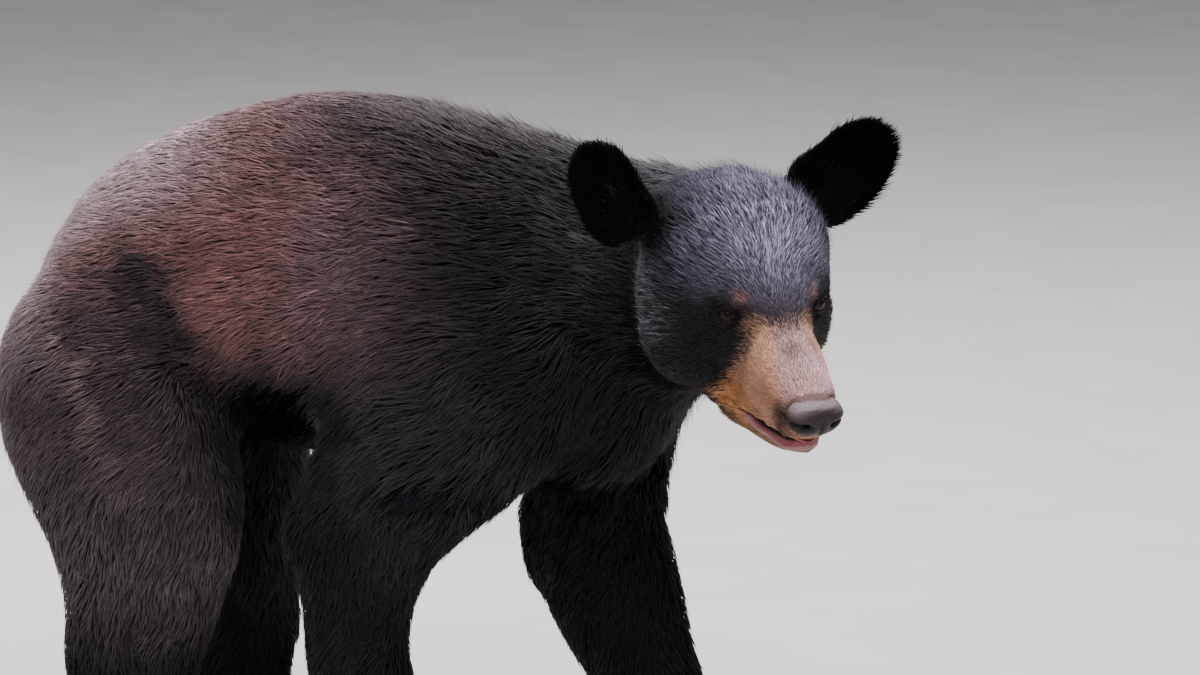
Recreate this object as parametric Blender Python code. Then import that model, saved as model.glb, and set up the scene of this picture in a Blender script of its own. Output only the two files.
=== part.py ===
"""A standing yearling black bear, life size: one body, parted into the pieces a person would name.

+X is the way the body faces, +Y is its left, +Z is up, and the floor is z = 0. Metres.
The whole body is fused from named masses (trunk, neck, head, legs, paws), and then parted with
thin cuts into head, jaw, neck, trunk, tail and legs. Eyes, ears, nose, tongue and claws are pieces
of their own, set against the flesh with the same thin gap.
"""

import math

import bmesh
import bpy
from mathutils import Euler, Matrix, Vector

MM = 0.001
GAP = 0.3 * MM           # left between neighbouring solids
RIGHT, LEFT = -1, 1      # the side of the body, as the sign of y
WORDS = {RIGHT: "right", LEFT: "left"}

# Driving dimensions, metres, coat included. x is measured from between the shoulders, and the
# finished bear is then moved so that the middle of its box stands over the origin.
BACK = 0.600             # floor to the highest point of the back
RUMP = -0.520            # x of the rump
CHEST = 0.085            # x of the breast
LEG_OUT = 0.098          # middle of each leg, out from the middle of the body
TRUNK_WIDE = 0.135       # half the width of the ribs

# The head: the middle of the line between the eyes, and how the head is held, in degrees
EYES_AT = Vector((0.211, -0.151, 0.461))
HEAD_TURN = -43          # to the right
HEAD_DIP = 18.5          # nose down
HEAD_TILT = 3.5

EYE_APART = 38.0 * MM    # middle of each eyeball, out from the middle of the face
EYE_AHEAD = 3.0 * MM
EYE_RADIUS = 10.5 * MM

# Ears, in the head's own frame
EAR_BASES = {RIGHT: Vector((-0.070, -0.092, 0.038)), LEFT: Vector((-0.070, 0.071, 0.046))}
EAR_TIPS = {RIGHT: Vector((-0.088, -0.134, 0.114)), LEFT: Vector((-0.088, 0.136, 0.099))}
EAR_FACES = {RIGHT: Vector((1.0, -0.35, -0.1)), LEFT: Vector((1.0, 0.15, 0.0))}
EAR_WIDE = 0.029         # half the width of an ear
EAR_CUP = 0.019          # how far the middle of an ear is pushed back
EAR_WALL = 0.009

# Legs and feet: where the tip of the middle toe stands, as (x, y)
FORE_PAWS = {RIGHT: (-0.092, -LEG_OUT), LEFT: (0.104, LEG_OUT)}
HIND_PAWS = {RIGHT: (-0.290, -LEG_OUT), LEFT: (-0.278, LEG_OUT)}
FORE_PAW_LONG = 0.110
HIND_PAW_LONG = 0.155
PAW_WIDE = 0.042         # half the width
TOES = 5
CLAW_LONG = {'fore': 0.028, 'hind': 0.020}
CLAW_THICK = 0.0042      # half the depth of a claw at its root
CLAW_START = 0.006       # from the middle of a toe forward to the claw's root

# Where the flesh is parted
ELBOW_CUT, WRIST_CUT = 0.232, 0.064
KNEE_CUT, HEEL_CUT = 0.258, 0.066
SKIRT = 0.014            # how far a leg's cut stands off the leg's own masses
TAIL_CUT = -0.549

FLESH_FACES = 2750       # triangles in the whole skin before it is parted

# Finishes: colour, roughness, metallic
FINISHES = {
    'coat': ((0.030, 0.026, 0.026), 0.75, 0.0),
    'muzzle': ((0.290, 0.190, 0.130), 0.75, 0.0),
    'nose_skin': ((0.060, 0.050, 0.055), 0.45, 0.0),
    'ear_skin': ((0.012, 0.011, 0.012), 0.80, 0.0),
    'mouth_skin': ((0.420, 0.150, 0.150), 0.40, 0.0),
    'eye': ((0.035, 0.018, 0.012), 0.08, 0.0),
    'horn': ((0.040, 0.035, 0.032), 0.40, 0.0),
}


# ---------------------------------------------------------------- building blocks

def clear_scene():
    for obj in list(bpy.data.objects):
        bpy.data.objects.remove(obj, do_unlink=True)


def new_object(name, bm):
    mesh = bpy.data.meshes.new(name)
    bm.to_mesh(mesh)
    bm.free()
    obj = bpy.data.objects.new(name, mesh)
    bpy.context.scene.collection.objects.link(obj)
    return obj


def ellipsoid(centre, radii, turn=(0, 0, 0), detail=3):
    """A closed ball stretched to three radii and turned by Euler degrees."""
    bm = bmesh.new()
    place = (Matrix.Translation(centre)
             @ Euler([math.radians(a) for a in turn]).to_matrix().to_4x4()
             @ Matrix.Diagonal((*radii, 1)))
    bmesh.ops.create_icosphere(bm, subdivisions=detail, radius=1, matrix=place)
    return bm


def through(rows, t):
    """Catmull-Rom value at t (0 to the last row) through rows of equally long tuples."""
    last = len(rows) - 1
    i = min(int(t), last - 1)
    f = t - i
    a, b, c, d = (rows[min(max(i + k, 0), last)] for k in (-1, 0, 1, 2))
    return tuple(
        0.5 * (2 * q + (r - p) * f + (2 * p - 5 * q + 4 * r - s) * f * f
               + (3 * q - p - 3 * r + s) * f ** 3)
        for p, q, r, s in zip(a, b, c, d))


def loft(stations, across=Vector((0, 1, 0)), sides=28, steps=5, grow=0.0, boxy=2.0,
         caps=(0.92, 0.72, 0.38)):
    """A closed tube through stations (x, y, z, half width, half depth).

    Each ring is square to the path: its width runs along 'across' and its depth square to that.
    It is an ellipse where boxy is 2, and a fuller oval above that. Each end is rounded by rings
    of the sizes in 'caps'. 'grow' swells the tube all round.
    """
    count = (len(stations) - 1) * steps + 1
    rows = [through(stations, k / steps) for k in range(count)]
    points = [Vector(row[:3]) for row in rows]
    rings = []
    for k, row in enumerate(rows):
        along = (points[min(k + 1, count - 1)] - points[max(k - 1, 0)]).normalized()
        rings.append((points[k], along, row[3] + grow, row[4] + grow))
    first, last = rings[0], rings[-1]
    for share in caps:
        rise = 0.6 * math.sqrt(1 - share ** 2)
        for ring, way in ((first, -1), (last, 1)):
            middle, along, wide, deep = ring
            reach = along * (way * rise * min(wide, deep))
            cap = (middle + reach, along, wide * share, deep * share)
            rings.insert(0 if way < 0 else len(rings), cap)
    bm = bmesh.new()
    loops = []
    for middle, along, wide, deep in rings:
        side = (across - along * across.dot(along)).normalized()
        up = along.cross(side)
        loop = []
        for n in range(sides):
            c, s = math.cos(2 * math.pi * n / sides), math.sin(2 * math.pi * n / sides)
            out = math.copysign(abs(c) ** (2 / boxy), c) * wide
            rise = math.copysign(abs(s) ** (2 / boxy), s) * deep
            loop.append(bm.verts.new(middle + side * out + up * rise))
        loops.append(loop)
    for low, high in zip(loops, loops[1:]):
        for n in range(sides):
            m = (n + 1) % sides
            bm.faces.new((low[n], low[m], high[m], high[n]))
    bm.faces.new(reversed(loops[0]))
    bm.faces.new(loops[-1])
    bmesh.ops.recalc_face_normals(bm, faces=bm.faces)
    return bm


def joined(name, meshes):
    """One object holding several closed meshes, still overlapping."""
    whole = bmesh.new()
    for bm in meshes:
        piece = bpy.data.meshes.new("piece")
        bm.to_mesh(piece)
        bm.free()
        whole.from_mesh(piece)
        bpy.data.meshes.remove(piece)
    return new_object(name, whole)


def settle(obj):
    """Replace the object's mesh by what its modifiers make of it, and drop the modifiers."""
    graph = bpy.context.evaluated_depsgraph_get()
    mesh = bpy.data.meshes.new_from_object(obj.evaluated_get(graph))
    obj.modifiers.clear()
    old = obj.data
    obj.data = mesh
    bpy.data.meshes.remove(old)


def melt(obj, voxel, rounds):
    """Fuse overlapping closed meshes into one skin, and relax it so that the joins flow."""
    remesh = obj.modifiers.new("Fuse", 'REMESH')
    remesh.mode = 'VOXEL'
    remesh.voxel_size = voxel
    relax = obj.modifiers.new("Relax", 'SMOOTH')
    relax.factor = 0.5
    relax.iterations = rounds
    settle(obj)


def cut(obj, knife, operation):
    """Boolean with a knife mesh, which is then dropped."""
    boolean = obj.modifiers.new("Cut", 'BOOLEAN')
    boolean.operation = operation
    boolean.object = knife
    boolean.solver = 'EXACT'
    settle(obj)
    bpy.data.objects.remove(knife, do_unlink=True)


def keep_largest(obj):
    """Drop every loose crumb but the largest body, and weld coincident points."""
    bm = bmesh.new()
    bm.from_mesh(obj.data)
    bmesh.ops.remove_doubles(bm, verts=bm.verts, dist=1e-6)
    left = set(bm.verts)
    islands = []
    while left:
        stack = [left.pop()]
        island = set(stack)
        while stack:
            for edge in stack.pop().link_edges:
                for vert in edge.verts:
                    if vert in left:
                        left.discard(vert)
                        island.add(vert)
                        stack.append(vert)
        islands.append(island)
    islands.sort(key=len)
    crumbs = [vert for island in islands[:-1] for vert in island]
    bmesh.ops.delete(bm, geom=crumbs, context='VERTS')
    bm.to_mesh(obj.data)
    bm.free()


def copy_of(obj, name):
    twin = bpy.data.objects.new(name, obj.data.copy())
    bpy.context.scene.collection.objects.link(twin)
    return twin


# ---------------------------------------------------------------- the masses of the body

def trunk_masses():
    """Barrel of the body, high over the loins, lower at the shoulders, and sloping to the tail."""
    barrel = [
        (RUMP + 0.058, 0, 0.362, 0.098, 0.084),
        (RUMP + 0.095, 0, 0.390, 0.120, 0.115),
        (RUMP + 0.160, 0, 0.424, 0.134, 0.140),
        (-0.250, 0, BACK - 0.157, TRUNK_WIDE - 0.003, 0.157),
        (-0.140, 0, BACK - 0.164, TRUNK_WIDE, 0.154),
        (-0.040, 0, 0.412, 0.122, 0.152),
        (CHEST - 0.055, 0, 0.392, 0.100, 0.134),
    ]
    masses = [
        loft(barrel, boxy=2.15),
        ellipsoid((-0.035, 0, 0.500), (0.085, 0.075, 0.058)),
    ]
    for side in (RIGHT, LEFT):
        masses.append(ellipsoid((RUMP + 0.086, side * 0.055, 0.315), (0.102, 0.086, 0.100)))
    return masses


def tail():
    """The short tail, hanging close behind the rump."""
    root, middle, tip = (RUMP + 0.014, 0, 0.382), (RUMP - 0.016, 0, 0.362), (RUMP - 0.030, 0, 0.328)
    return loft([(*root, 0.030, 0.023), (*middle, 0.027, 0.021), (*tip, 0.018, 0.014)])


def neck_masses():
    """Thick neck that swings to the right into the back of the head."""
    spine = [
        (-0.030, 0.000, 0.430, 0.105, 0.130),
        (0.040, -0.012, 0.448, 0.092, 0.112),
        (0.100, -0.048, 0.462, 0.082, 0.096),
        (0.140, -0.085, 0.474, 0.074, 0.084),
    ]
    return [loft(spine)]


def foreleg(side):
    """Shoulder, upper arm, elbow, forearm and wrist; the right one is set back, the left forward."""
    y = side * LEG_OUT
    if side == RIGHT:
        return [
            (-0.022, y * 0.86, 0.430, 0.050, 0.083),
            (-0.074, y * 1.02, 0.363, 0.054, 0.093),
            (-0.138, y * 1.10, 0.295, 0.052, 0.085),
            (-0.170, y * 1.12, 0.228, 0.047, 0.065),
            (-0.181, y * 1.08, 0.166, 0.041, 0.050),
            (-0.178, y * 1.04, 0.110, 0.037, 0.048),
            (-0.166, y * 1.00, 0.060, 0.036, 0.042),
        ]
    return [
        (-0.025, y * 0.86, 0.430, 0.050, 0.085),
        (-0.038, y * 1.00, 0.360, 0.052, 0.088),
        (-0.045, y * 1.06, 0.285, 0.049, 0.071),
        (-0.041, y * 1.05, 0.220, 0.045, 0.061),
        (-0.028, y * 1.02, 0.165, 0.041, 0.065),
        (-0.004, y * 1.00, 0.110, 0.037, 0.054),
        (0.024, y * 0.98, 0.060, 0.036, 0.043),
    ]


def elbow(side):
    """The point of the elbow, standing out behind the forearm."""
    if side == RIGHT:
        return ellipsoid((-0.203, -1.16 * LEG_OUT, 0.236), (0.050, 0.034, 0.043))
    return ellipsoid((-0.078, 1.08 * LEG_OUT, 0.207), (0.047, 0.034, 0.060))


def hindleg(side):
    """Thigh, knee, shank and heel, on a flat foot."""
    y = side * LEG_OUT
    if side == RIGHT:
        return [
            (-0.402, y * 0.78, 0.425, 0.055, 0.076),
            (-0.424, y * 0.98, 0.358, 0.062, 0.101),
            (-0.392, y * 1.10, 0.290, 0.056, 0.106),
            (-0.379, y * 1.12, 0.225, 0.050, 0.094),
            (-0.383, y * 1.10, 0.160, 0.044, 0.073),
            (-0.396, y * 1.05, 0.100, 0.041, 0.062),
            (-0.398, y * 1.00, 0.050, 0.038, 0.046),
        ]
    return [
        (-0.404, y * 0.78, 0.425, 0.055, 0.074),
        (-0.434, y * 0.98, 0.358, 0.062, 0.096),
        (-0.406, y * 1.10, 0.290, 0.056, 0.088),
        (-0.392, y * 1.12, 0.225, 0.050, 0.072),
        (-0.388, y * 1.10, 0.160, 0.044, 0.060),
        (-0.387, y * 1.05, 0.100, 0.041, 0.059),
        (-0.386, y * 1.00, 0.050, 0.038, 0.046),
    ]


def toes_of(toe_x, y):
    """The middles of the five toes in an arc; toe_x is where the middle one ends."""
    for k in range(TOES):
        out = 2 * k / (TOES - 1) - 1
        yield Vector((toe_x - 0.020 - 0.012 * out * out, y + out * PAW_WIDE * 0.78, 0.018))


def paw(toe_x, y, length):
    """A flat foot ending in five toes, a little below the floor, where its sole is cut flat."""
    heel = toe_x - length
    sole = loft([
        (heel + 0.028, y, 0.026, PAW_WIDE * 0.78, 0.030),
        (heel + length * 0.55, y, 0.026, PAW_WIDE * 0.95, 0.030),
        (toe_x - 0.032, y, 0.023, PAW_WIDE, 0.027),
    ])
    size = (0.020, PAW_WIDE * 0.24, 0.021)
    return [sole] + [ellipsoid(toe, size, detail=2) for toe in toes_of(toe_x, y)]


# ---------------------------------------------------------------- the masses of the head

def head_place():
    """From the head's own frame (x forward, y left, z up, from between the eyes) to the world."""
    turn = Euler([math.radians(a) for a in (HEAD_TILT, HEAD_DIP, HEAD_TURN)])
    return Matrix.Translation(EYES_AT) @ turn.to_matrix().to_4x4()


def head_masses():
    """Skull and long straight muzzle in one taper, with jowls, brows and ear roots, in head frame."""
    taper = [
        (-0.120, 0, 0.006, 0.068, 0.072),
        (-0.095, 0, 0.000, 0.082, 0.085),
        (-0.068, 0, -0.006, 0.084, 0.088),
        (-0.038, 0, -0.015, 0.073, 0.081),
        (-0.012, 0, -0.025, 0.060, 0.064),
        (0.004, 0, -0.031, 0.042, 0.054),
        (0.016, 0, -0.036, 0.032, 0.047),
        (0.040, 0, -0.042, 0.033, 0.038),
        (0.070, 0, -0.049, 0.029, 0.030),
        (0.094, 0, -0.053, 0.025, 0.024),
    ]
    lower_jaw = [
        (-0.048, 0, -0.078, 0.042, 0.034),
        (0.000, 0, -0.081, 0.036, 0.027),
        (0.040, 0, -0.083, 0.028, 0.020),
        (0.082, 0, -0.083, 0.019, 0.013),
    ]
    masses = [loft(taper, boxy=2.3), loft(lower_jaw, boxy=2.3)]
    for side in (RIGHT, LEFT):
        masses += [
            ellipsoid((-0.060, side * 0.036, -0.040), (0.056, 0.050, 0.056)),
            ellipsoid((-0.012, side * 0.030, 0.018), (0.020, 0.020, 0.014)),
            ellipsoid((-0.096, side * 0.062, 0.040), (0.026, 0.028, 0.028)),
        ]
    return masses


def ear(side):
    """A round cupped ear: a disc of rings pushed back in its middle, to be given a thickness."""
    base, tip = EAR_BASES[side], EAR_TIPS[side]
    up = (tip - base).normalized()
    face = EAR_FACES[side]
    face = (face - up * face.dot(up)).normalized()
    wide = up.cross(face)
    tall = (tip - base).length / 2
    middle = base + up * tall
    rings, spokes = 3, 16
    bm = bmesh.new()
    centre = bm.verts.new(middle - face * EAR_CUP)
    loops = []
    for r in range(1, rings + 1):
        share = r / rings
        loop = []
        for s in range(spokes):
            angle = 2 * math.pi * s / spokes
            corner = 2.0 if math.sin(angle) > 0 else 3.0     # squarer towards the root
            round_off = (abs(math.cos(angle)) ** corner + abs(math.sin(angle)) ** corner) ** (-1 / corner)
            across = EAR_WIDE * share * round_off * math.cos(angle)
            along = tall * share * round_off * math.sin(angle)
            back = EAR_CUP * (1 - share ** 2)
            loop.append(bm.verts.new(middle + wide * across + up * along - face * back))
        loops.append(loop)
    for s in range(spokes):
        t = (s + 1) % spokes
        bm.faces.new((centre, loops[0][s], loops[0][t]))
        for low, high in zip(loops, loops[1:]):
            bm.faces.new((low[s], high[s], high[t], low[t]))
    return in_world(bm)


def in_world(bm):
    bm.transform(head_place())
    return bm


# ---------------------------------------------------------------- knives

def prism(outline, half_width):
    """A closed prism over an outline of (x, z) points, from -half_width to half_width in y."""
    bm = bmesh.new()
    near = [bm.verts.new((x, -half_width, z)) for x, z in outline]
    far = [bm.verts.new((x, half_width, z)) for x, z in outline]
    bm.faces.new(near)
    bm.faces.new(reversed(far))
    for n in range(len(outline)):
        m = (n + 1) % len(outline)
        bm.faces.new((near[m], near[n], far[n], far[m]))
    bmesh.ops.recalc_face_normals(bm, faces=bm.faces)
    return bm


def box(low, high):
    """A closed box between two corners."""
    bm = prism([(low[0], low[2]), (high[0], low[2]), (high[0], high[2]), (low[0], high[2])],
               (high[1] - low[1]) / 2)
    bm.transform(Matrix.Translation((0, (high[1] + low[1]) / 2, 0)))
    return bm


def head_knife(grow):
    """All that lies in front of the back of the skull."""
    return in_world(box((-0.108 - grow, -0.2, -0.122 - grow), (0.2, 0.2, 0.2)))


def neck_knife(grow):
    """From the back of the skull to a slanting cut in front of the shoulders."""
    bm = box((-grow, -0.2, -0.2), (0.3, 0.2, 0.2))
    turn = Euler([math.radians(a) for a in (0, -20, -12)]).to_matrix().to_4x4()
    bm.transform(Matrix.Translation((0.042, -0.010, 0.450)) @ turn)
    return bm


def jaw_knife(grow):
    """The lower jaw: below the line of the mouth, which rises a little towards the nose."""
    line = [(-0.004 - grow, -0.082 + grow), (0.045, -0.0795 + grow), (0.090, -0.0765 + grow),
            (0.140, -0.0730 + grow), (0.140, -0.140), (-0.004 - grow, -0.140)]
    return in_world(prism(line, 0.080))


def nose(grow=0.0):
    """The bare nose pad, blunt in front and a little wider than the muzzle's end."""
    return in_world(ellipsoid((0.099, 0, -0.0505), (0.017 + grow, 0.0245 + grow, 0.0175 + grow)))


def tongue(grow=0.0):
    """The flat tip of the tongue, lying on the lower lip."""
    size = (0.023 + grow, 0.013 + grow, 0.0035 + grow)
    return in_world(ellipsoid((0.074, 0, -0.0775), size, detail=2))


def eyeball(side, grow=0.0):
    return in_world(ellipsoid((EYE_AHEAD, side * EYE_APART, 0), (EYE_RADIUS + grow,) * 3, detail=2))


def tail_knife(grow):
    """All that hangs behind the rump."""
    return box((-1, -0.1, 0.1), (TAIL_CUT + grow, 0.1, 0.6))


def leg_knife(stations, grow):
    """A coarse tube round a leg, from inside the shoulder or hip down.

    Its quads are split one way, so that the tube and its swollen twin bend along the same lines.
    """
    bm = loft(stations[1:], sides=14, steps=1, grow=SKIRT + grow, caps=(0.7,))
    bmesh.ops.triangulate(bm, faces=bm.faces, quad_method='FIXED')
    return bm


def paw_knife(toe_x, y, length, top, grow):
    """A box round one paw, up to the wrist or heel."""
    around = PAW_WIDE + SKIRT
    return box((toe_x - length - around, y - around, -1), (toe_x + around, y + around, top + grow))


def claw(toe, length, grow=0.0):
    """A curved claw on a toe: a tapering horn that starts inside the toe and bends down."""
    stations = []
    for k in range(4):
        t = k / 3
        deep = CLAW_THICK * (1 - 0.75 * t) + grow
        start = toe.x + CLAW_START - grow
        x = start + (length + grow) * t
        stations.append((x, toe.y, toe.z + 0.002 - length * 0.45 * t * t, deep * 0.6, deep))
    return loft(stations, sides=6, steps=1, caps=())


# ---------------------------------------------------------------- assembly

def parted(whole, name, knife):
    """Take from 'whole' what lies in the knife, leaving the thin gap; knife(grow) makes the shape."""
    piece = copy_of(whole, name)
    cut(piece, new_object("knife", knife(0.0)), 'INTERSECT')
    cut(whole, new_object("knife", knife(GAP)), 'DIFFERENCE')
    keep_largest(piece)
    keep_largest(whole)
    return piece


def hollow(obj, shape):
    """Cut room for a separate piece out of the flesh."""
    cut(obj, new_object("knife", shape), 'DIFFERENCE')
    keep_largest(obj)


def bodily():
    """The whole bear in one skin, with flat soles."""
    legs = []
    for side in (RIGHT, LEFT):
        legs += [loft(foreleg(side)), elbow(side), loft(hindleg(side))]
    body = joined("body", trunk_masses() + neck_masses() + legs + [tail()])
    melt(body, 0.007, 14)
    extras = [in_world(bm) for bm in head_masses()]
    for side in (RIGHT, LEFT):
        extras += paw(*FORE_PAWS[side], FORE_PAW_LONG)
        extras += paw(*HIND_PAWS[side], HIND_PAW_LONG)
    detail = joined("detail", extras)
    both = bmesh.new()
    both.from_mesh(body.data)
    both.from_mesh(detail.data)
    bear = new_object("trunk", both)
    for obj in (body, detail):
        bpy.data.objects.remove(obj, do_unlink=True)
    melt(bear, 0.0045, 5)
    thin = bear.modifiers.new("Thin", 'DECIMATE')
    thin.ratio = FLESH_FACES / (2 * len(bear.data.polygons))
    settle(bear)
    cut(bear, new_object("floor", box((-1, -1, 0), (1, 1, 1))), 'INTERSECT')
    keep_largest(bear)
    return bear


def part_leg(trunk, end, side):
    """Part one leg from the body into paw, lower leg and upper leg, and set the claws in."""
    if end == 'fore':
        stations, paw_at, long = foreleg(side), FORE_PAWS[side], FORE_PAW_LONG
        middle_cut, paw_cut = ELBOW_CUT, WRIST_CUT
    else:
        stations, paw_at, long = hindleg(side), HIND_PAWS[side], HIND_PAW_LONG
        middle_cut, paw_cut = KNEE_CUT, HEEL_CUT
    word = WORDS[side]
    foot = parted(trunk, f"{end}paw_{word}", lambda grow: paw_knife(*paw_at, long, paw_cut, grow))
    upper = parted(trunk, f"{end}leg_upper_{word}", lambda grow: leg_knife(stations, grow))
    lower = parted(upper, f"{end}leg_lower_{word}",
                   lambda grow: box((-1, -1, -1), (1, 1, middle_cut + grow)))
    for k, toe in enumerate(toes_of(*paw_at), start=1):
        hollow(foot, claw(toe, CLAW_LONG[end], GAP))
        horn = new_object(f"claw_{end}_{word}_{k}", claw(toe, CLAW_LONG[end]))
        finish(horn, 'horn')
    for piece in (foot, upper, lower):
        finish(piece, 'coat')


def part_head(trunk):
    """Part the head and jaw from the body, and set nose and tongue into them."""
    head = parted(trunk, "head", head_knife)
    hollow(head, nose(GAP))
    jaw = parted(head, "jaw", jaw_knife)
    for piece in (head, jaw):
        hollow(piece, tongue(GAP))
    finish(new_object("tongue", tongue()), 'mouth_skin')
    finish(new_object("nose", nose()), 'nose_skin')
    finish(jaw, 'muzzle')
    finish(head, 'coat')
    return head


def set_eye(head, side):
    hollow(head, eyeball(side, GAP))
    finish(new_object(f"eye_{WORDS[side]}", eyeball(side)), 'eye')


def set_ear(head, side):
    """Stand an ear against the head: its root is cut to the head's own surface."""
    pinna = new_object(f"ear_{WORDS[side]}", ear(side))
    pinna.modifiers.new("Wall", 'SOLIDIFY').thickness = EAR_WALL
    settle(pinna)
    swollen = copy_of(head, "swollen")
    push = swollen.modifiers.new("Gap", 'DISPLACE')
    push.strength = GAP
    push.mid_level = 0
    settle(swollen)
    cut(pinna, swollen, 'DIFFERENCE')
    keep_largest(pinna)
    finish(pinna, 'ear_skin')


def finish(obj, name):
    """Give an object one of the finishes."""
    material = bpy.data.materials.get(name)
    if material is None:
        colour, roughness, metallic = FINISHES[name]
        material = bpy.data.materials.new(name)
        material.use_nodes = True
        shader = material.node_tree.nodes["Principled BSDF"]
        shader.inputs["Base Color"].default_value = (*colour, 1)
        shader.inputs["Roughness"].default_value = roughness
        shader.inputs["Metallic"].default_value = metallic
    obj.data.materials.clear()
    obj.data.materials.append(material)


def stand_over_origin(objects):
    """Move everything level, so that the middle of the whole box is over the origin."""
    corners = [vert.co for obj in objects for vert in obj.data.vertices]
    x_middle = (min(co.x for co in corners) + max(co.x for co in corners)) / 2
    y_middle = (min(co.y for co in corners) + max(co.y for co in corners)) / 2
    for obj in objects:
        obj.data.transform(Matrix.Translation((-x_middle, -y_middle, 0)))


def main():
    clear_scene()
    trunk = bodily()
    for side in (RIGHT, LEFT):
        part_leg(trunk, 'fore', side)
        part_leg(trunk, 'hind', side)
    head = part_head(trunk)
    neck = parted(trunk, "neck", neck_knife)
    tail_tip = parted(trunk, "tail", tail_knife)
    for piece in (trunk, neck, tail_tip):
        finish(piece, 'coat')
    for side in (RIGHT, LEFT):
        set_eye(head, side)
        set_ear(head, side)
    stand_over_origin(list(bpy.context.scene.objects))


main()
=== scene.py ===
"""The looks of a young black bear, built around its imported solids.

One skin stands in for all the flesh, a little inside it, and carries the coat as solid tufts that
lie the way the hair grows. Eyes, lids, nose, mouth and claws are surfaces of their own. Metres, in
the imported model's own frame: +X is the way the body faces, +Y its left, +Z up, the floor z = 0.
"""

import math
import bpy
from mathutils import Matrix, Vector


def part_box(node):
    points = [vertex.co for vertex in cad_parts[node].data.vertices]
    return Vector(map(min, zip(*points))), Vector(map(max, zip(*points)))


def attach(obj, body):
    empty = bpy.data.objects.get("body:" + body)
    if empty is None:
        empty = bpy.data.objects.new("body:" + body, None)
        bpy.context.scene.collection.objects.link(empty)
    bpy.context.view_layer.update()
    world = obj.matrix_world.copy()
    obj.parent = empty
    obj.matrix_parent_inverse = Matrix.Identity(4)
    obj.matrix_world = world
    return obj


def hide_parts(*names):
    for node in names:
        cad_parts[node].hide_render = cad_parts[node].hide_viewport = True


bl_info = {
    "name": "Young Black Bear",
    "version": (1, 0, 0),
    "blender": (4, 5, 0),
    "location": "View3D > Sidebar > Bear",
    "description": "Builds a life-size young black bear around its packed solids",
    "category": "Add Mesh",
}

import bmesh
import bpy
import numpy as np
from bpy.props import FloatProperty, FloatVectorProperty, PointerProperty
from mathutils import Euler, Vector

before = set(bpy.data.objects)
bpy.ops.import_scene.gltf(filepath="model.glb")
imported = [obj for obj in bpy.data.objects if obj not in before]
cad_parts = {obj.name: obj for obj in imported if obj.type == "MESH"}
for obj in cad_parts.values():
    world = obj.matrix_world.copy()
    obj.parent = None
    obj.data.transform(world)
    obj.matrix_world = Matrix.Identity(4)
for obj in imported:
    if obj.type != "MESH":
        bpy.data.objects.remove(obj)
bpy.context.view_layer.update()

MM = 0.001
RIGHT, LEFT = -1, 1
SIDES = {RIGHT: "right", LEFT: "left"}
ENDS = ("fore", "hind")

CLAWS = [f"claw_{end}_{word}_{k}" for end in ENDS for word in SIDES.values() for k in range(1, 6)]
FLESH = ["trunk", "neck", "head", "tail"]
FLESH += [f"{end}leg_{part}_{word}" for end in ENDS for part in ("upper", "lower")
          for word in SIDES.values()]
FLESH += [f"{end}paw_{word}" for end in ENDS for word in SIDES.values()]

# Where the head looks, in degrees, as it is in the solids
HEAD_TURN, HEAD_DIP, HEAD_TILT = -43.0, 18.5, 3.5
EYE_AHEAD = 3.0 * MM
EYE_AXIS_OUT = 33.0      # each eye looks this far out from straight ahead, degrees
EYE_AXIS_UP = 4.0


def middle(node):
    low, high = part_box(node)
    return (np.array(low) + np.array(high)) / 2


NOSE_AT = np.array([99.0, 0.0, -50.5]) * MM
NOSE_RADII = np.array([17.0, 24.5, 17.5]) * MM
# The line between the lips, along and above the point between the eyes
MOUTH_ALONG = np.array([-4.0, 45.0, 90.0, 140.0]) * MM
MOUTH_HIGH = np.array([-82.0, -79.5, -76.5, -73.0]) * MM
HEAD_AXES = np.array(Euler([math.radians(a) for a in (HEAD_TILT, HEAD_DIP, HEAD_TURN)]).to_matrix())
EYES_AT = (middle("eye_left") + middle("eye_right")) / 2 - HEAD_AXES[:, 0] * EYE_AHEAD
EYE_APART = float(np.linalg.norm(middle("eye_left") - middle("eye_right"))) / 2
EYE_RADIUS = float((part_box("eye_left")[1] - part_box("eye_left")[0]).z) / 2
MIDDLE_Y = float(middle("tail")[1])      # the body's own middle plane
LEG_OUT = float(middle("hindpaw_left")[1] - middle("hindpaw_right")[1]) / 2
SHOULDER_X = float(middle("foreleg_upper_right")[0] + middle("foreleg_upper_left")[0]) / 2


# ---------------------------------------------------------------- numbers over many points

def to_head(points):
    """World points in the head's own frame: forward, left, up from between the eyes."""
    return (points - EYES_AT) @ HEAD_AXES


def from_head(points):
    return points @ HEAD_AXES.T + EYES_AT


def ease(x, low, high):
    """0 below 'low', 1 above 'high', and a smooth S between; low may be above high."""
    t = np.clip((x - low) / (high - low), 0, 1)
    return t * t * (3 - 2 * t)


def bell(x, centre, width):
    """1 at the centre and falling away to both sides: exp(-(distance / width) squared)."""
    return np.exp(-((x - centre) / width) ** 2)


def mound(points, centre, radii):
    """A bell in space, 1 at the centre, with the distance counted in the radii."""
    return np.exp(-(((points - np.array(centre)) / np.array(radii)) ** 2).sum(axis=1))


def circle(count):
    """Evenly spaced angles, once around."""
    return np.linspace(0, 2 * math.pi, count, endpoint=False)


def directions(polar, around):
    """A grid of unit vectors: every angle 'polar' off the first axis, carried once around it."""
    polar, turn = polar[:, None], circle(around)[None, :]
    return np.stack([np.cos(polar) + 0 * turn, np.sin(polar) * np.cos(turn),
                     np.sin(polar) * np.sin(turn)], axis=-1)


def mirrored(points):
    """Both sides as one: the second coordinate without its sign."""
    return np.stack([points[:, 0], np.abs(points[:, 1]), points[:, 2]], axis=1)


def unit(vectors):
    return vectors / np.maximum(np.linalg.norm(vectors, axis=-1, keepdims=True), 1e-9)


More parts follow.
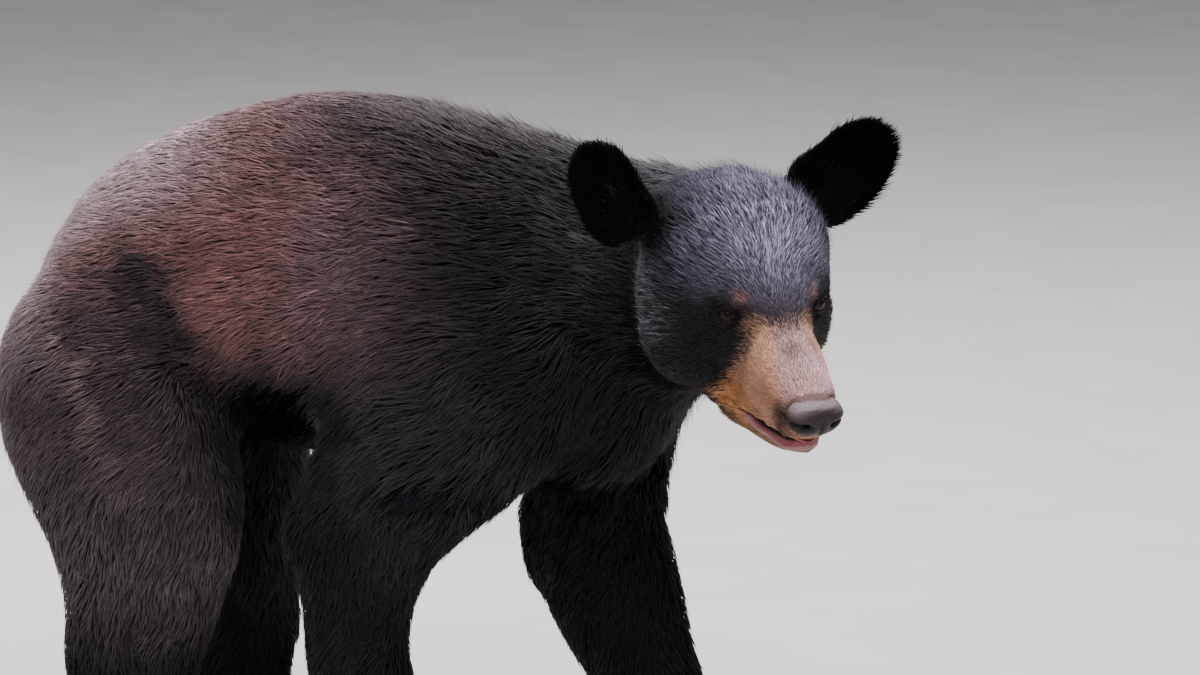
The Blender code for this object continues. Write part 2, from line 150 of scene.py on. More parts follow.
def laid(ways, normals):
    """Unit vectors along a surface: each way less its part along the normal."""
    return unit(ways - normals * (ways * normals).sum(axis=1, keepdims=True))


def turned(ways, normals, angle):
    """Each way turned about its normal by an angle."""
    angle = angle[:, None]
    return unit(ways * np.cos(angle) + np.cross(normals, ways) * np.sin(angle))


def murmur(points, grain, seed):
    """Smooth random values from -1 to 1 over space.

    Random numbers sit on a lattice 'grain' apart (one size, or one for each axis), and are blended
    between its corners by smooth steps.
    """
    table = np.random.default_rng(seed).uniform(-1, 1, 4096)
    cell = points / np.array(grain)
    low = np.floor(cell).astype(np.int64)
    share = cell - low
    share = share * share * (3 - 2 * share)
    total = np.zeros(len(points))
    for corner in range(8):
        step = np.array([corner & 1, corner >> 1 & 1, corner >> 2 & 1])
        at = low + step
        index = (at[:, 0] * 73856093 ^ at[:, 1] * 19349663 ^ at[:, 2] * 83492791) & 4095
        weight = np.where(step, share, 1 - share).prod(axis=1)
        total += weight * table[index]
    return total


def linear(code):
    """An sRGB hex colour as linear red, green and blue."""
    value = np.array([int(code[i:i + 2], 16) for i in (1, 3, 5)]) / 255
    return np.where(value <= 0.04045, value / 12.92, ((value + 0.055) / 1.055) ** 2.4)


# ---------------------------------------------------------------- meshes from arrays

def made_mesh(name, points, faces):
    """A mesh of triangles or quads from arrays of points and of corner numbers."""
    mesh = bpy.data.meshes.new(name)
    mesh.vertices.add(len(points))
    mesh.vertices.foreach_set("co", np.ascontiguousarray(points, dtype=np.float32).ravel())
    mesh.loops.add(faces.size)
    mesh.loops.foreach_set("vertex_index", np.ascontiguousarray(faces, dtype=np.int32).ravel())
    mesh.polygons.add(len(faces))
    starts = np.arange(len(faces), dtype=np.int32) * faces.shape[1]
    mesh.polygons.foreach_set("loop_start", starts)
    mesh.update(calc_edges=True)
    mesh.shade_smooth()
    return mesh


def added(name, data):
    """A new object in the scene with the given data."""
    obj = bpy.data.objects.new(name, data)
    bpy.context.scene.collection.objects.link(obj)
    return obj


def kept(mesh, name, kind, values):
    """Keep one value for each point as an attribute of the mesh."""
    field = "color" if kind == 'FLOAT_COLOR' else "value"
    mesh.attributes.new(name, kind, 'POINT').data.foreach_set(field, values.ravel())


def placed(name, material, points, faces, tints=None, nodes=()):
    """Make a finished piece: it rides on the body and stands for the named solids.

    The tints, one colour for each point, are kept as the mesh's own Hair Colour.
    """
    mesh = made_mesh(name, points, faces)
    mesh.materials.append(material)
    if tints is not None:
        opaque = np.ones((len(points), 1))
        kept(mesh, "Hair Colour", 'FLOAT_COLOR', np.hstack([tints, opaque]).astype(np.float32))
    obj = added(name, mesh)
    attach(obj, "root")
    if nodes:
        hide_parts(*nodes)
    return mesh


def faced_out(points, faces):
    """Turn all triangles round if the volume that they enclose comes out negative."""
    a, b, c = (points[faces[:, k]] for k in range(3))
    volume = (a * np.cross(b, c)).sum()
    return faces if volume > 0 else faces[:, ::-1]


def crosses(points, faces):
    """Each triangle's normal, as long as twice its area."""
    a, b, c = (points[faces[:, k]] for k in range(3))
    return np.cross(b - a, c - a)


def cells(here, beside, ahead, both):
    """Two triangles for each cell of a grid of point numbers, given all four corners."""
    low = np.stack([here, beside, both], axis=-1).reshape(-1, 3)
    return np.concatenate([low, np.stack([here, both, ahead], axis=-1).reshape(-1, 3)])


def shell(grid):
    """A closed surface from a grid of points (rows, around, 3), its end rows closed by a point."""
    rows, around = grid.shape[:2]
    points = np.concatenate([grid.reshape(-1, 3), [grid[0].mean(axis=0)], [grid[-1].mean(axis=0)]])
    here = np.arange(rows * around).reshape(rows, around)
    beside = np.roll(here, -1, axis=1)
    first = np.full(around, rows * around)
    faces = [cells(here[:-1], beside[:-1], here[1:], beside[1:]),
             np.stack([first, beside[0], here[0]], axis=-1),
             np.stack([first + 1, here[-1], beside[-1]], axis=-1)]
    return points, faced_out(points, np.concatenate(faces))


def hoop(grid):
    """A closed ring from a grid of points (along, around, 3) that wraps both ways."""
    here = np.arange(grid.shape[0] * grid.shape[1]).reshape(grid.shape[:2])
    beside, ahead = np.roll(here, -1, axis=1), np.roll(here, -1, axis=0)
    points = grid.reshape(-1, 3)
    return points, faced_out(points, cells(here, beside, ahead, np.roll(ahead, -1, axis=1)))


def together(parts):
    """One array of points and one of triangles from several."""
    points, faces, count = [], [], 0
    for some_points, some_faces in parts:
        points.append(some_points)
        faces.append(some_faces + count)
        count += len(some_points)
    return np.concatenate(points), np.concatenate(faces)


def taken(items, name, width, kind=np.float32):
    """One value of all the items of a mesh as an array, 'width' numbers to a row."""
    values = np.empty(len(items) * width, dtype=kind)
    items.foreach_get(name, values)
    return values.reshape(-1, width)


def mesh_points(mesh):
    return taken(mesh.vertices, "co", 3).astype(np.float64)


def mesh_triangles(mesh):
    mesh.calc_loop_triangles()
    return taken(mesh.loop_triangles, "vertices", 3, np.int32)


def set_points(mesh, points):
    mesh.vertices.foreach_set("co", points.astype(np.float32).ravel())
    mesh.update()


# ---------------------------------------------------------------- what lies where on the bear

def part_shares(points):
    """How much of each point belongs to head, legs and paws, each from 0 to 1."""
    head = to_head(points)
    on_head = ease(head[:, 0], -0.135, -0.085) * ease(head[:, 2], -0.170, -0.130)
    on_head *= ease(points[:, 0], 0.16, 0.22)
    out = np.abs(points[:, 1] - MIDDLE_Y)
    on_leg = ease(points[:, 2], 0.33, 0.22) * ease(out, 0.035, 0.075)
    on_leg = np.maximum(on_leg, ease(points[:, 2], 0.20, 0.17)) * (1 - on_head)
    on_paw = ease(points[:, 2], 0.085, 0.050)
    return on_head, on_leg, on_paw


# How far the tips of the coat stand off the skin
BODY_DEPTH, WITHERS_EXTRA, LEG_DEPTH, PAW_DEPTH = 10.5 * MM, 3.0 * MM, 6.5 * MM, 2.8 * MM
CHEEK_DEPTH, BROW_DEPTH, MUZZLE_DEPTH = 8.5 * MM, 4.5 * MM, 1.2 * MM


def coat_depth(points):
    """How far the tips of the coat stand off the skin, metres.

    Deepest on the withers, neck and rump, thin on the legs, and no more than stubble on the muzzle,
    round the eyes and on the feet. Nothing under the soles.
    """
    on_head, on_leg, on_paw = part_shares(points)
    head = to_head(points)
    withers = mound(points, (SHOULDER_X - 0.02, MIDDLE_Y, 0.57), (0.10, 0.12, 0.06))
    depth = BODY_DEPTH + WITHERS_EXTRA * withers
    depth += (LEG_DEPTH - depth) * on_leg
    face = BROW_DEPTH + (CHEEK_DEPTH - BROW_DEPTH) * ease(head[:, 0], -0.02, -0.09)
    face += (MUZZLE_DEPTH - face) * ease(head[:, 0], 0.000, 0.030)
    eyes = mound(np.abs(head), (0.008, EYE_APART, 0.0), (0.022, 0.020, 0.020))
    face += (MUZZLE_DEPTH - face) * np.clip(1.6 * eyes, 0, 1)
    depth += (face - depth) * on_head
    depth += (PAW_DEPTH - depth) * on_paw
    return depth * ease(points[:, 2], 0.001, 0.012)


def blended(rows, share, goal):
    """Rows moved towards a goal, one row or one for each, by a share from 0 to 1 for each row."""
    share = np.clip(share, 0, 1)[:, None]
    return rows * (1 - share) + goal * share


def lie(points, normals):
    """The way the hair lies at each point, as a unit vector along the skin.

    Back along the body and a little down, down the legs, forward over the toes, and on the head
    from the nose back over the forehead and cheeks.
    """
    on_head, on_leg, on_paw = part_shares(points)
    head = to_head(points)
    side = np.clip(head[:, 1] / 0.045, -1, 1)
    behind = 1 - ease(head[:, 0], 0.0, 0.03)
    sink = 0.15 - 0.55 * np.abs(side) * ease(head[:, 2], 0.03, -0.05) * behind
    back = np.stack([-np.ones(len(points)), 0.35 * side * behind, sink], axis=1) @ HEAD_AXES.T
    flow = np.tile([-1, 0, -0.16], (len(points), 1))
    for share, way in ((ease(points[:, 2], 0.50, 0.30), (-0.85, 0, -0.75)),    # low on the body
                       (ease(points[:, 0], -0.30, -0.40), (-0.55, 0, -0.95)),  # over the rump
                       (ease(normals[:, 0], 0.35, 0.85), (-0.25, 0, -1.0)),    # down the chest
                       (on_leg, (-0.22, 0, -1.0)), (on_paw, (1.0, 0, -0.35)), (on_head, back)):
        flow = blended(flow, share, np.array(way))
    return laid(flow, normals)


# Painted light among these tints: the blue-black is painted sky sheen, and the pale rump and the
# pale grizzle are partly painted sky sheen; the thigh streak and the nose's top are painted
# highlights; the deep black, the thigh's front line and the lip gap are painted shade.
PALETTE = {
    "black": "#0f0d10", "deep": "#060507", "sky_sheen_black": "#29262d", "brown": "#805b5a",
    "rust": "#83595a", "rump": "#c9b3b8", "flank_grey": "#6a5862", "withers": "#2b2225",
    "thigh": "#4d3d44", "thigh_crease_shade": "#231e25", "thigh_highlight": "#98807c", "shank": "#5a5058",
    "grizzle_dark": "#413e4c", "grizzle_pale": "#c0b9d4", "cheek_dark": "#2a262b",
    "cheek_pale": "#97959c", "eye_rim": "#110e10", "tan": "#e3ad90", "peach": "#efbe9f",
    "orange": "#eaa672", "mauve": "#cfa6a9", "smudge": "#6b5053", "nostril": "#47302f",
    "brow_spot": "#936e6b", "between": "#52464f", "chin": "#a67c5e", "ear": "#060405",
    "lip": "#ab8284", "lip_inside": "#8b4144", "lip_gap_shade": "#3a1819", "tongue": "#a0555a",
    "nose": "#2d1f23", "nose_top_highlight": "#9c8890", "lid": "#0d0a0b", "lid_rim": "#5a4043",
    "claw": "#17120f", "claw_worn": "#33291f", "pupil": "#050303", "iris": "#120908",
    "iris_fleck": "#26140f", "eye_white": "#1d1210", "paper": "#cfccc6", "paper_pale": "#d6d3cd",
}
TINTS = {name: linear(code) for name, code in PALETTE.items()}


def washed(colour, *washes):
    """Blend an array of colours towards one of the palette after another, each by its share."""
    for share, name in washes:
        colour = blended(colour, share, TINTS[name])
    return colour


def markings(points, own=0.5):
    """The coat's colours in linear light, the same for skin and hair.

    Black all over, paler and bluish low on body and legs as painted sky sheen; brown to rust over
    back and flank; paler and mauve on the rump, most on its right, partly its own tint and partly
    painted sky sheen; painted shade as a dark line down the front of the thigh, with a painted
    highlight as a pale streak behind it; painted shade, nearly black, underneath, on the chest and
    on the inner sides of the legs; a grizzled forehead, its pale hairs brightened as painted sky
    sheen;
    a tan muzzle with a mauve bridge. 'own' is each hair's chance of being one of the pale ones
    among the dark.
    """
    on_head, on_leg, _ = part_shares(points)
    wander = 0.020 * murmur(points, 0.060, 11) + 0.010 * murmur(points, 0.020, 12)
    x, z = points[:, 0] + wander, points[:, 2] + wander
    out = np.abs(points[:, 1] - MIDDLE_Y)
    side = ease(out, 0.04, 0.08)
    left = ease(points[:, 1], MIDDLE_Y + 0.010, MIDDLE_Y + 0.080)
    shoulder = ease(x, 0.0, 0.05) * ease(x, 0.17, 0.11) * ease(z, 0.36, 0.42)
    brown = ease(x, 0.085, -0.11) * ease(z, 0.35, 0.45)
    # the pale rump is partly the coat's own tint and partly painted sky sheen, so it is kept weaker
    # on the far left side and on the rear face
    pale = (1 - 0.45 * left) * (1 - 0.3 * ease(x, -0.385, -0.42))
    # painted shade along the crease at the front edge of the thigh
    behind = x - thigh_line(z)
    front = bell(behind, 0, np.where(behind > 0, 0.020, 0.030)) * side
    # a painted highlight: a pale streak down the back of the thigh, mostly on the right side
    streak = bell(x, -0.298 + 0.58 * (0.401 - z), 0.014) * side * (1 - 0.7 * left)
    streak *= (0.25 * ease(z, 0.24, 0.28) + 0.75 * ease(z, 0.31, 0.34)) * ease(z, 0.425, 0.395)
    # painted shade, nearly black: the inner sides of the legs, the belly, the low breast and the
    # chest under the neck
    inner = ease(z, 0.33, 0.28) * ease(out, LEG_OUT * 1.05, LEG_OUT * 0.75)
    belly = ease(z, 0.385, 0.345) * ease(x, -0.17, -0.14) * ease(x, 0.0, -0.04)
    breast = ease(z, 0.37, 0.32) * ease(out, 0.10, 0.06) * ease(x, 0.13, 0.09)
    chest = ease(x, 0.09, 0.14) * ease(z, 0.47, 0.39) * (1 - on_head)
    colour = washed(
        np.tile(TINTS["black"], (len(points), 1)),
        # painted sky sheen: the black hair paler and bluish low on body and legs, less on the
        # shoulder and the back
        (0.8 * ease(z, 0.12, 0.34) * (1 - 0.85 * shoulder) * (1 - 0.6 * ease(z, 0.45, 0.53)),
         "sky_sheen_black"),
        (0.95 * brown, "brown"),
        (0.9 * brown * ease(z, 0.56, 0.50) * ease(x, -0.02, -0.10) * ease(x, -0.30, -0.22), "rust"),
        (0.8 * brown * ease(x, -0.13, -0.02) * ease(z, 0.56, 0.48), "flank_grey"),
        (0.8 * ease(x, 0.17, 0.10) * ease(x, -0.16, -0.04) * ease(z, 0.50, 0.56), "withers"),
        (0.85 * ease(x, -0.17, -0.23) * ease(z, 0.47, 0.41) * ease(z, 0.24, 0.30), "thigh"),
        # the pale rump: partly its own tint, partly painted sky sheen
        (0.95 * pale * ease(x, -0.12, -0.30) * ease(z, 0.46, 0.55), "rump"),
        (0.85 * pale * ease(x, -0.27, -0.34) * ease(z, 0.33, 0.49), "rump"),
        (0.75 * on_leg * (x < -0.1) * ease(z, 0.10, 0.20), "shank"),
        # painted shade in the crease in front of the thigh
        (0.92 * front * ease(z, 0.485, 0.455) * ease(z, 0.18, 0.24), "thigh_crease_shade"),
        (streak * (0.20 + 0.65 * own ** 2), "thigh_highlight"),
        (0.9 * np.maximum.reduce([inner, belly, breast, chest]), "deep"))
    return face_markings(colour, to_head(points), on_head, own)


def thigh_line(z):
    """Where the front edge of the thigh runs: how far along the body it is at each height."""
    return np.interp(z, (0.20, 0.326, 0.370, 0.421, 0.454, 0.475),
                     (-0.120, -0.165, -0.194, -0.216, -0.231, -0.262))


def folds(points):
    """How far the skin draws in along the creases of the body, metres.

    Each crease is a bell across its line, and fades out above and below: in front of the thigh,
    behind the shoulder, in front of it, along the upper arm, above the heel, and on the thigh.
    """
    on_head, _, _ = part_shares(points)
    x, z = points[:, 0], points[:, 2]
    side = ease(np.abs(points[:, 1] - MIDDLE_Y), 0.03, 0.07) * (1 - on_head)
    creases = (     # depth in mm, line, half width, heights where it fades above and below
        (8.5, thigh_line(z) + 0.010, 0.015, (0.49, 0.45), (0.24, 0.29)),
        (5.0, -0.045, 0.020, (0.48, 0.42), (0.27, 0.32)),
        (4.0, 0.105 + 0.5 * (z - 0.40), 0.018, (0.50, 0.46), (0.30, 0.34)),
        (3.5, 0.035 - 0.6 * (z - 0.36), 0.016, (0.44, 0.40), (0.26, 0.30)),
        (3.5, -0.245 - 0.25 * (z - 0.15), 0.010, (0.24, 0.19), (0.08, 0.11)),
        (3.0, -0.300 + 0.58 * (0.401 - z), 0.012, (0.44, 0.40), (0.24, 0.30)))
    deep = sum(depth * bell(x, line, wide) * ease(z, *above) * ease(z, *below)
               for depth, line, wide, above, below in creases)
    return deep * side * MM


def below_lips(head):
    """How far each point lies below the line between the lips."""
    return np.interp(head[:, 0], MOUTH_ALONG, MOUTH_HIGH) - head[:, 2]


def lip_share(head):
    """Share of bare lip along the upper edge of the lower jaw, deepest in front."""
    ahead = head[:, 0]
    deep = 0.0008 + 0.0090 * ease(ahead, 0.028, 0.050) + 0.0040 * ease(ahead, 0.060, 0.085)
    return ease(below_lips(head), deep + 0.0012, deep - 0.0012)


# Dark smudges on the bridge of the muzzle: place, radii and strength
SMUDGES = (((0.060, -0.005, -0.013), (0.008, 0.008, 0.012), 0.65),
           ((0.044, -0.011, -0.006), (0.007, 0.005, 0.012), 0.45),
           ((0.050, 0.016, -0.014), (0.009, 0.004, 0.012), 0.50),
           ((0.032, 0.004, 0.004), (0.010, 0.012, 0.012), 0.35))


def face_markings(colour, head, on_head, own):
    """The head's own colours, worked out in the head's frame: forward, to either side, up."""
    fleck = 0.005 * murmur(head, 0.010, 21) + 0.0035 * murmur(head, 0.003, 22)
    f, side, u = head[:, 0] + fleck, np.abs(head[:, 1]), head[:, 2] + fleck
    both = np.stack([f, side, u], axis=1)
    grey = ease(u, -0.025, 0.020) * ease(f, -0.125, -0.080) * ease(side, 0.084, 0.060) * on_head
    # the grizzle is the coat's own; brightening its pale hairs most on the forehead above the eyes
    # is painted sky sheen
    grizzle_sheen = 0.12 + mound(both, (-0.014, 0.0, 0.044), (0.046, 0.052, 0.040))
    # painted shade, nearly black, in the crease behind the cheek where the neck begins
    crease_shade = bell(f, -0.104, 0.027) * ease(u, 0.050, 0.020) * ease(u, -0.20, -0.14)
    cheek = ease(f, -0.10, -0.055) * ease(u, 0.02, -0.01) * on_head
    sparse = mound(both, (-0.060, 0.068, -0.025), (0.026, 0.040, 0.045)) * on_head
    edge = 0.027 + 0.013 * ease(side, 0.022, 0.006) + 0.022 * ease(u, 0.0, 0.013)
    edge -= 0.024 * ease(u, -0.023, -0.063) + 0.020 * ease(u, -0.063, -0.086)
    edge += (0.016 + 0.016 * ease(u, -0.020, 0.0)) * (own - 0.5)
    soft = 0.004 + 0.008 * ease(u, -0.025, 0.0)
    muzzle = ease(f, edge - soft, edge + soft)
    wide = 0.013 + 0.009 * ease(f, 0.035, 0.085)
    bridge = muzzle * ease(side, wide + 0.003, wide - 0.004) * ease(u, -0.055, -0.035)
    nostril = mound(both, (0.087, 0.022, -0.054), (0.009, 0.010, 0.014))
    nostril += 0.7 * mound(both, (0.086, 0.014, -0.070), (0.016, 0.016, 0.006))
    low = ease(u, -0.083, -0.090) * on_head * (f > -0.03)
    return washed(
        colour,
        (grey, "grizzle_dark"),
        (grey * own ** 1.3 * grizzle_sheen, "grizzle_pale"),
        (1.15 * crease_shade, "deep"),
        (cheek, "cheek_dark"),
        (0.9 * sparse * own ** 3, "cheek_pale"),
        (muzzle, "tan"),
        (0.7 * muzzle * ease(f, 0.075, 0.045) * ease(u, -0.045, -0.015), "peach"),
        (muzzle * ease(u, -0.045, -0.068) * ease(f, 0.065, 0.010), "orange"),
        (0.9 * bridge, "mauve"),
        *((dark * mound(head, centre, radii) * muzzle, "smudge")
          for centre, radii, dark in SMUDGES),
        (0.8 * mound(head, (0.027, 0.0, 0.011), (0.018, 0.026, 0.012)), "between"),
        (1.1 * nostril * on_head, "nostril"),
        (0.8 * low, "chin"),
        (0.9 * low * ease(f, 0.030, -0.005), "cheek_dark"),
        (1.5 * mound(both, (0.005, EYE_APART + 0.004, -0.001), (0.025, 0.017, 0.014)), "eye_rim"),
        (1.2 * mound(both, (0.013, 0.031, 0.015), (0.007, 0.006, 0.006)), "brow_spot"),
        (1.3 * mound(both, (-0.072, 0.074, 0.052), (0.040, 0.034, 0.042)), "ear"))


# ---------------------------------------------------------------- the skin

def relaxed(points, edges, share, rounds):
    """Even out a surface without shrinking it.

    Each round moves every point half way to the middle of its neighbours and then a little more
    than that back again, times its share.
    """
    count = len(points)
    degree = np.maximum(np.bincount(edges.ravel(), minlength=count), 1)[:, None]
    for step in [0.5, -0.53] * rounds:
        total = np.zeros_like(points)
        for axis in range(3):
            total[:, axis] = np.bincount(edges[:, 0], points[edges[:, 1], axis], count)
            total[:, axis] += np.bincount(edges[:, 1], points[edges[:, 0], axis], count)
        points = points + (total / degree - points) * (share * step)[:, None]
    return points


SWELL = 0.4      # mm, enough to close the thin gaps between the solids


def fused(nodes, voxel):
    """One closed mesh around copies of the named solids, each swollen a little."""
    whole = bmesh.new()
    for node in nodes:
        piece = bmesh.new()
        piece.from_mesh(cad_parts[node].data)
        bmesh.ops.remove_doubles(piece, verts=piece.verts, dist=0.01 * MM)
        piece.normal_update()
        for vert in piece.verts:
            vert.co += vert.normal * SWELL * MM
        mesh = bpy.data.meshes.new("solid")
        piece.to_mesh(mesh)
        piece.free()
        whole.from_mesh(mesh)
        bpy.data.meshes.remove(mesh)
    mesh = bpy.data.meshes.new("fused")
    whole.to_mesh(mesh)
    whole.free()
    obj = added("fused", mesh)
    remesh = obj.modifiers.new("Fuse", 'REMESH')
    remesh.mode = 'VOXEL'
    remesh.voxel_size = voxel
    graph = bpy.context.evaluated_depsgraph_get()
    result = bpy.data.meshes.new_from_object(obj.evaluated_get(graph))
    bpy.data.objects.remove(obj, do_unlink=True)
    return result


def finer(mesh, wanted):
    """Split in four the quads inside a region; wanted(points) is true where that is."""
    inside = wanted(mesh_points(mesh))
    bm = bmesh.new()
    bm.from_mesh(mesh)
    edges = [e for e in bm.edges if inside[e.verts[0].index] and inside[e.verts[1].index]]
    bmesh.ops.subdivide_edges(bm, edges=edges, cuts=1, use_grid_fill=True)
    bm.to_mesh(mesh)
    bm.free()


def eye_frame(side):
    """An eyeball's centre in the head's frame, and its axes: ahead, along the slit, and up."""
    centre = np.array([EYE_AHEAD, side * EYE_APART, 0.0])
    out, up = math.radians(EYE_AXIS_OUT) * side, math.radians(EYE_AXIS_UP)
    look = np.array([math.cos(out) * math.cos(up), math.sin(out) * math.cos(up), math.sin(up)])
    slit = np.cross(np.array([0.0, 0.0, 1.0]), look) * side + np.array([0.0, 0.0, 0.22])
    slit = unit(slit - look * (slit @ look))
    return centre, look, slit, np.cross(look, slit) * side


def eye_angle(arm, look, slit):
    """Degrees off the eye's axis, counted more slowly along the slit, so a circle is an almond."""
    turn = np.degrees(np.arccos(np.clip(unit(arm) @ look, -1, 1)))
    along = np.abs(arm @ slit) / np.maximum(np.linalg.norm(np.cross(arm, look), axis=1), 1e-6)
    return turn / (0.97 + 0.38 * along ** 2)


def sculpted(head):
    """Sink the eye sockets and draw in the skin behind the nose, in the head's frame.

    Inside each opening the skin falls to under the eyeball, and round it a soft ring stands proud.
    """
    under, rim = EYE_RADIUS - 2.5 * MM, EYE_RADIUS + 2.2 * MM
    for side in (RIGHT, LEFT):
        centre, look, slit, _ = eye_frame(side)
        arm = head - centre
        reach = np.linalg.norm(arm, axis=1)
        angle = eye_angle(arm, look, slit)
        near = ease(reach, 0.030, 0.016)
        goal = reach + (under - reach) * ease(angle, 62, 34) * near
        goal += (np.maximum(goal, rim) - goal) * bell(angle, 58, 20) * near
        head = centre + arm * (goal / np.maximum(reach, 1e-6))[:, None]
    back = np.array([10.0, 0, 0]) * MM
    behind = NOSE_AT - back
    reach = np.linalg.norm((head - behind) / (NOSE_RADII + back), axis=1)
    sink = 1 - 0.60 * ease(reach, 1.18, 0.82) * ease(head[:, 0], 0.083, 0.092)
    return behind + (head - behind) * sink[:, None]


# Root, tip, the way it faces, and half its width, in the head's frame
EARS = {
    RIGHT: (np.array([-0.0646, -0.0989, 0.0396]), np.array([-0.0933, -0.1334, 0.118]),
            np.array([1.0, -0.35, -0.1]), 0.0275),
    LEFT: (np.array([-0.0811, 0.0666, 0.0378]), np.array([-0.0916, 0.1416, 0.0991]),
           np.array([1.0, -0.25, 0.0]), 0.0350),
}


def ear_frame(side):
    """The middle of an ear, its axes up, out of its face and across, and half its height."""
    base, tip, face, _ = EARS[side]
    up = unit(tip - base)
    look = unit(face - up * (face @ up))
    return (base + tip) / 2, up, look, np.cross(up, look), np.linalg.norm(tip - base) / 2


def ear_points(side):
    """A round, cupped ear as a closed shell of two parameters, in the head's frame.

    One parameter runs from the middle of the front, over the rim, to the middle of the back, the
    other around. The outline is an ellipse above, squarer towards the root and flared there on the
    side of the head's top, and the middle is pushed back by a parabola.
    """
    centre, up, look, wide, tall = ear_frame(side)
    t, angle = np.linspace(0, 1, 23)[:, None], circle(44)[None, :]
    reach = np.sin(t * math.pi) ** 0.8
    c, s = np.cos(angle), np.sin(angle)
    power = np.where(s > 0, 2.1, 3.2)
    shape = (np.abs(c) ** power + np.abs(s) ** power) ** (-1 / power)
    flare = 1 + 0.22 * ease(s, 0.0, -0.8) * (c * side < 0)
    across = EARS[side][3] * shape * c * reach * flare
    along = tall * shape * s * reach
    wall = 2.4 * MM * np.sqrt(np.clip(1 - reach ** 6, 0, 1))
    cup = 0.021 * (1 - reach ** 2) * (1 - 0.25 * s * reach)
    fold = 0.004 * bell(c * reach, 0.75, 0.2)
    out = np.where(t < 0.5, 1, -1) * wall - cup - fold
    return centre + across[..., None] * wide + along[..., None] * up + out[..., None] * look


BODY_VOXEL, JAW_VOXEL = 4.7 * MM, 2.2 * MM
JAW_DEPTH = 1.3 * MM      # how far the jaw's skin lies inside its solid


def evened(mesh, points, share, rounds):
    """The mesh's points after 'relaxed', and the normals there."""
    points = relaxed(points, taken(mesh.edges, "vertices", 2, np.int32), share, rounds)
    set_points(mesh, points)
    return points, taken(mesh.vertices, "normal", 3).astype(np.float64)


def build_skin():
    """The skin of body and head in one, the lower jaw, and both ears: points and triangles."""
    mesh = fused(FLESH + ["nose", "eye_left", "eye_right"], BODY_VOXEL)
    finer(mesh, lambda p: to_head(p)[:, 0] > -0.030)
    points = mesh_points(mesh)
    share = (1 - 0.75 * part_shares(points)[2]) * ease(points[:, 2], 0.002, 0.010)
    points, normals = evened(mesh, points, share, 26)
    set_points(mesh, points - normals * (coat_depth(points) + folds(points))[:, None])
    round_eyes, reach = (0.008, EYE_APART, 0), (0.030, 0.028, 0.028)
    finer(mesh, lambda p: mound(np.abs(to_head(p)), round_eyes, reach) > 0.4)
    points = mesh_points(mesh)
    faces = mesh_triangles(mesh)
    points, _ = evened(mesh, points, ease(to_head(points)[:, 0], -0.03, -0.01), 2)
    points = from_head(sculpted(to_head(points)))
    points[:, 2] = np.maximum(points[:, 2], 0)
    jaw = fused(["jaw"], JAW_VOXEL)
    jaw_points, normals = evened(jaw, mesh_points(jaw), np.ones(len(jaw.vertices)), 8)
    lower = jaw_points - normals * JAW_DEPTH, mesh_triangles(jaw)
    for used in (mesh, jaw):
        bpy.data.meshes.remove(used)
    ears = []
    for side in (RIGHT, LEFT):
        ear, ear_faces = shell(ear_points(side))
        ears.append((from_head(ear), ear_faces))
    return (points, faces), lower, ears


# ---------------------------------------------------------------- the coat

SHEET = {}      # the coarse map of the skin, once there is one


def sheet_of(points, normals, cell=6 * MM, reach=6):
    """A coarse map of the skin: for each cell of space near it, the skin's place and normal there.

    Each cell holds the mean of the skin's points in it. Empty cells then take the mean of their
    filled neighbours, one ring further out each round.
    """
    low = points.min(axis=0) - (reach + 2) * cell
    size = np.ceil((points.max(axis=0) + (reach + 2) * cell - low) / cell).astype(int)
    at = ((points - low) / cell).astype(int)
    flat = (at[:, 0] * size[1] + at[:, 1]) * size[2] + at[:, 2]
    total = int(np.prod(size))
    values = np.concatenate([points, normals, np.ones((len(points), 1))], axis=1)
    held = np.stack([np.bincount(flat, values[:, k], total) for k in range(7)]).reshape(7, *size)
    count = held[6]
    held = held / np.maximum(count, 1)
    for _ in range(reach):
        around = sum(np.roll(held, step, axis=axis) for axis in (1, 2, 3) for step in (-1, 1))
        empty = held[6] == 0
        held = np.where(empty, around / np.maximum(around[6], 1), held)
    return low, cell, size, held


def on_sheet(spots):
    """The nearest place on the skin to each spot, by the coarse map, and the normal there."""
    low, cell, size, held = SHEET["body"]
    at = np.clip(((spots - low) / cell).astype(int), 0, size - 1)
    near = held[:, at[:, 0], at[:, 1], at[:, 2]].T
    known = near[:, 6] > 0
    normal = np.where(known[:, None], unit(near[:, 3:6]), [0.0, 0.0, 1.0])
    off = ((spots - near[:, :3]) * normal).sum(axis=1) * known
    return spots - normal * off[:, None], normal


def corner_normals(points, faces):
    """Area-weighted normals of the points of a triangle mesh."""
    face, normals = crosses(points, faces), np.zeros_like(points)
    for k in range(3):
        for axis in range(3):
            normals[:, axis] += np.bincount(faces[:, k], face[:, axis], len(points))
    return unit(normals)


def rooted(points, faces, crowding, count, seed):
    """Random roots on a surface: places and normals. 'crowding' weighs each triangle."""
    rng = np.random.default_rng(seed)
    area = np.linalg.norm(crosses(points, faces), axis=1) / 2
    running = np.cumsum(area * crowding)
    steps = (np.arange(count) + rng.random(count)) / count * running[-1]
    pick = np.minimum(np.searchsorted(running, steps), len(faces) - 1)
    s, t = rng.random(count), rng.random(count)
    over = s + t > 1
    s, t = np.where(over, 1 - s, s), np.where(over, 1 - t, t)
    shares = np.stack([1 - s - t, s, t], axis=1)[..., None]
    normals = corner_normals(points, faces)
    corners = faces[pick]
    return (points[corners] * shares).sum(axis=1), unit((normals[corners] * shares).sum(axis=1))


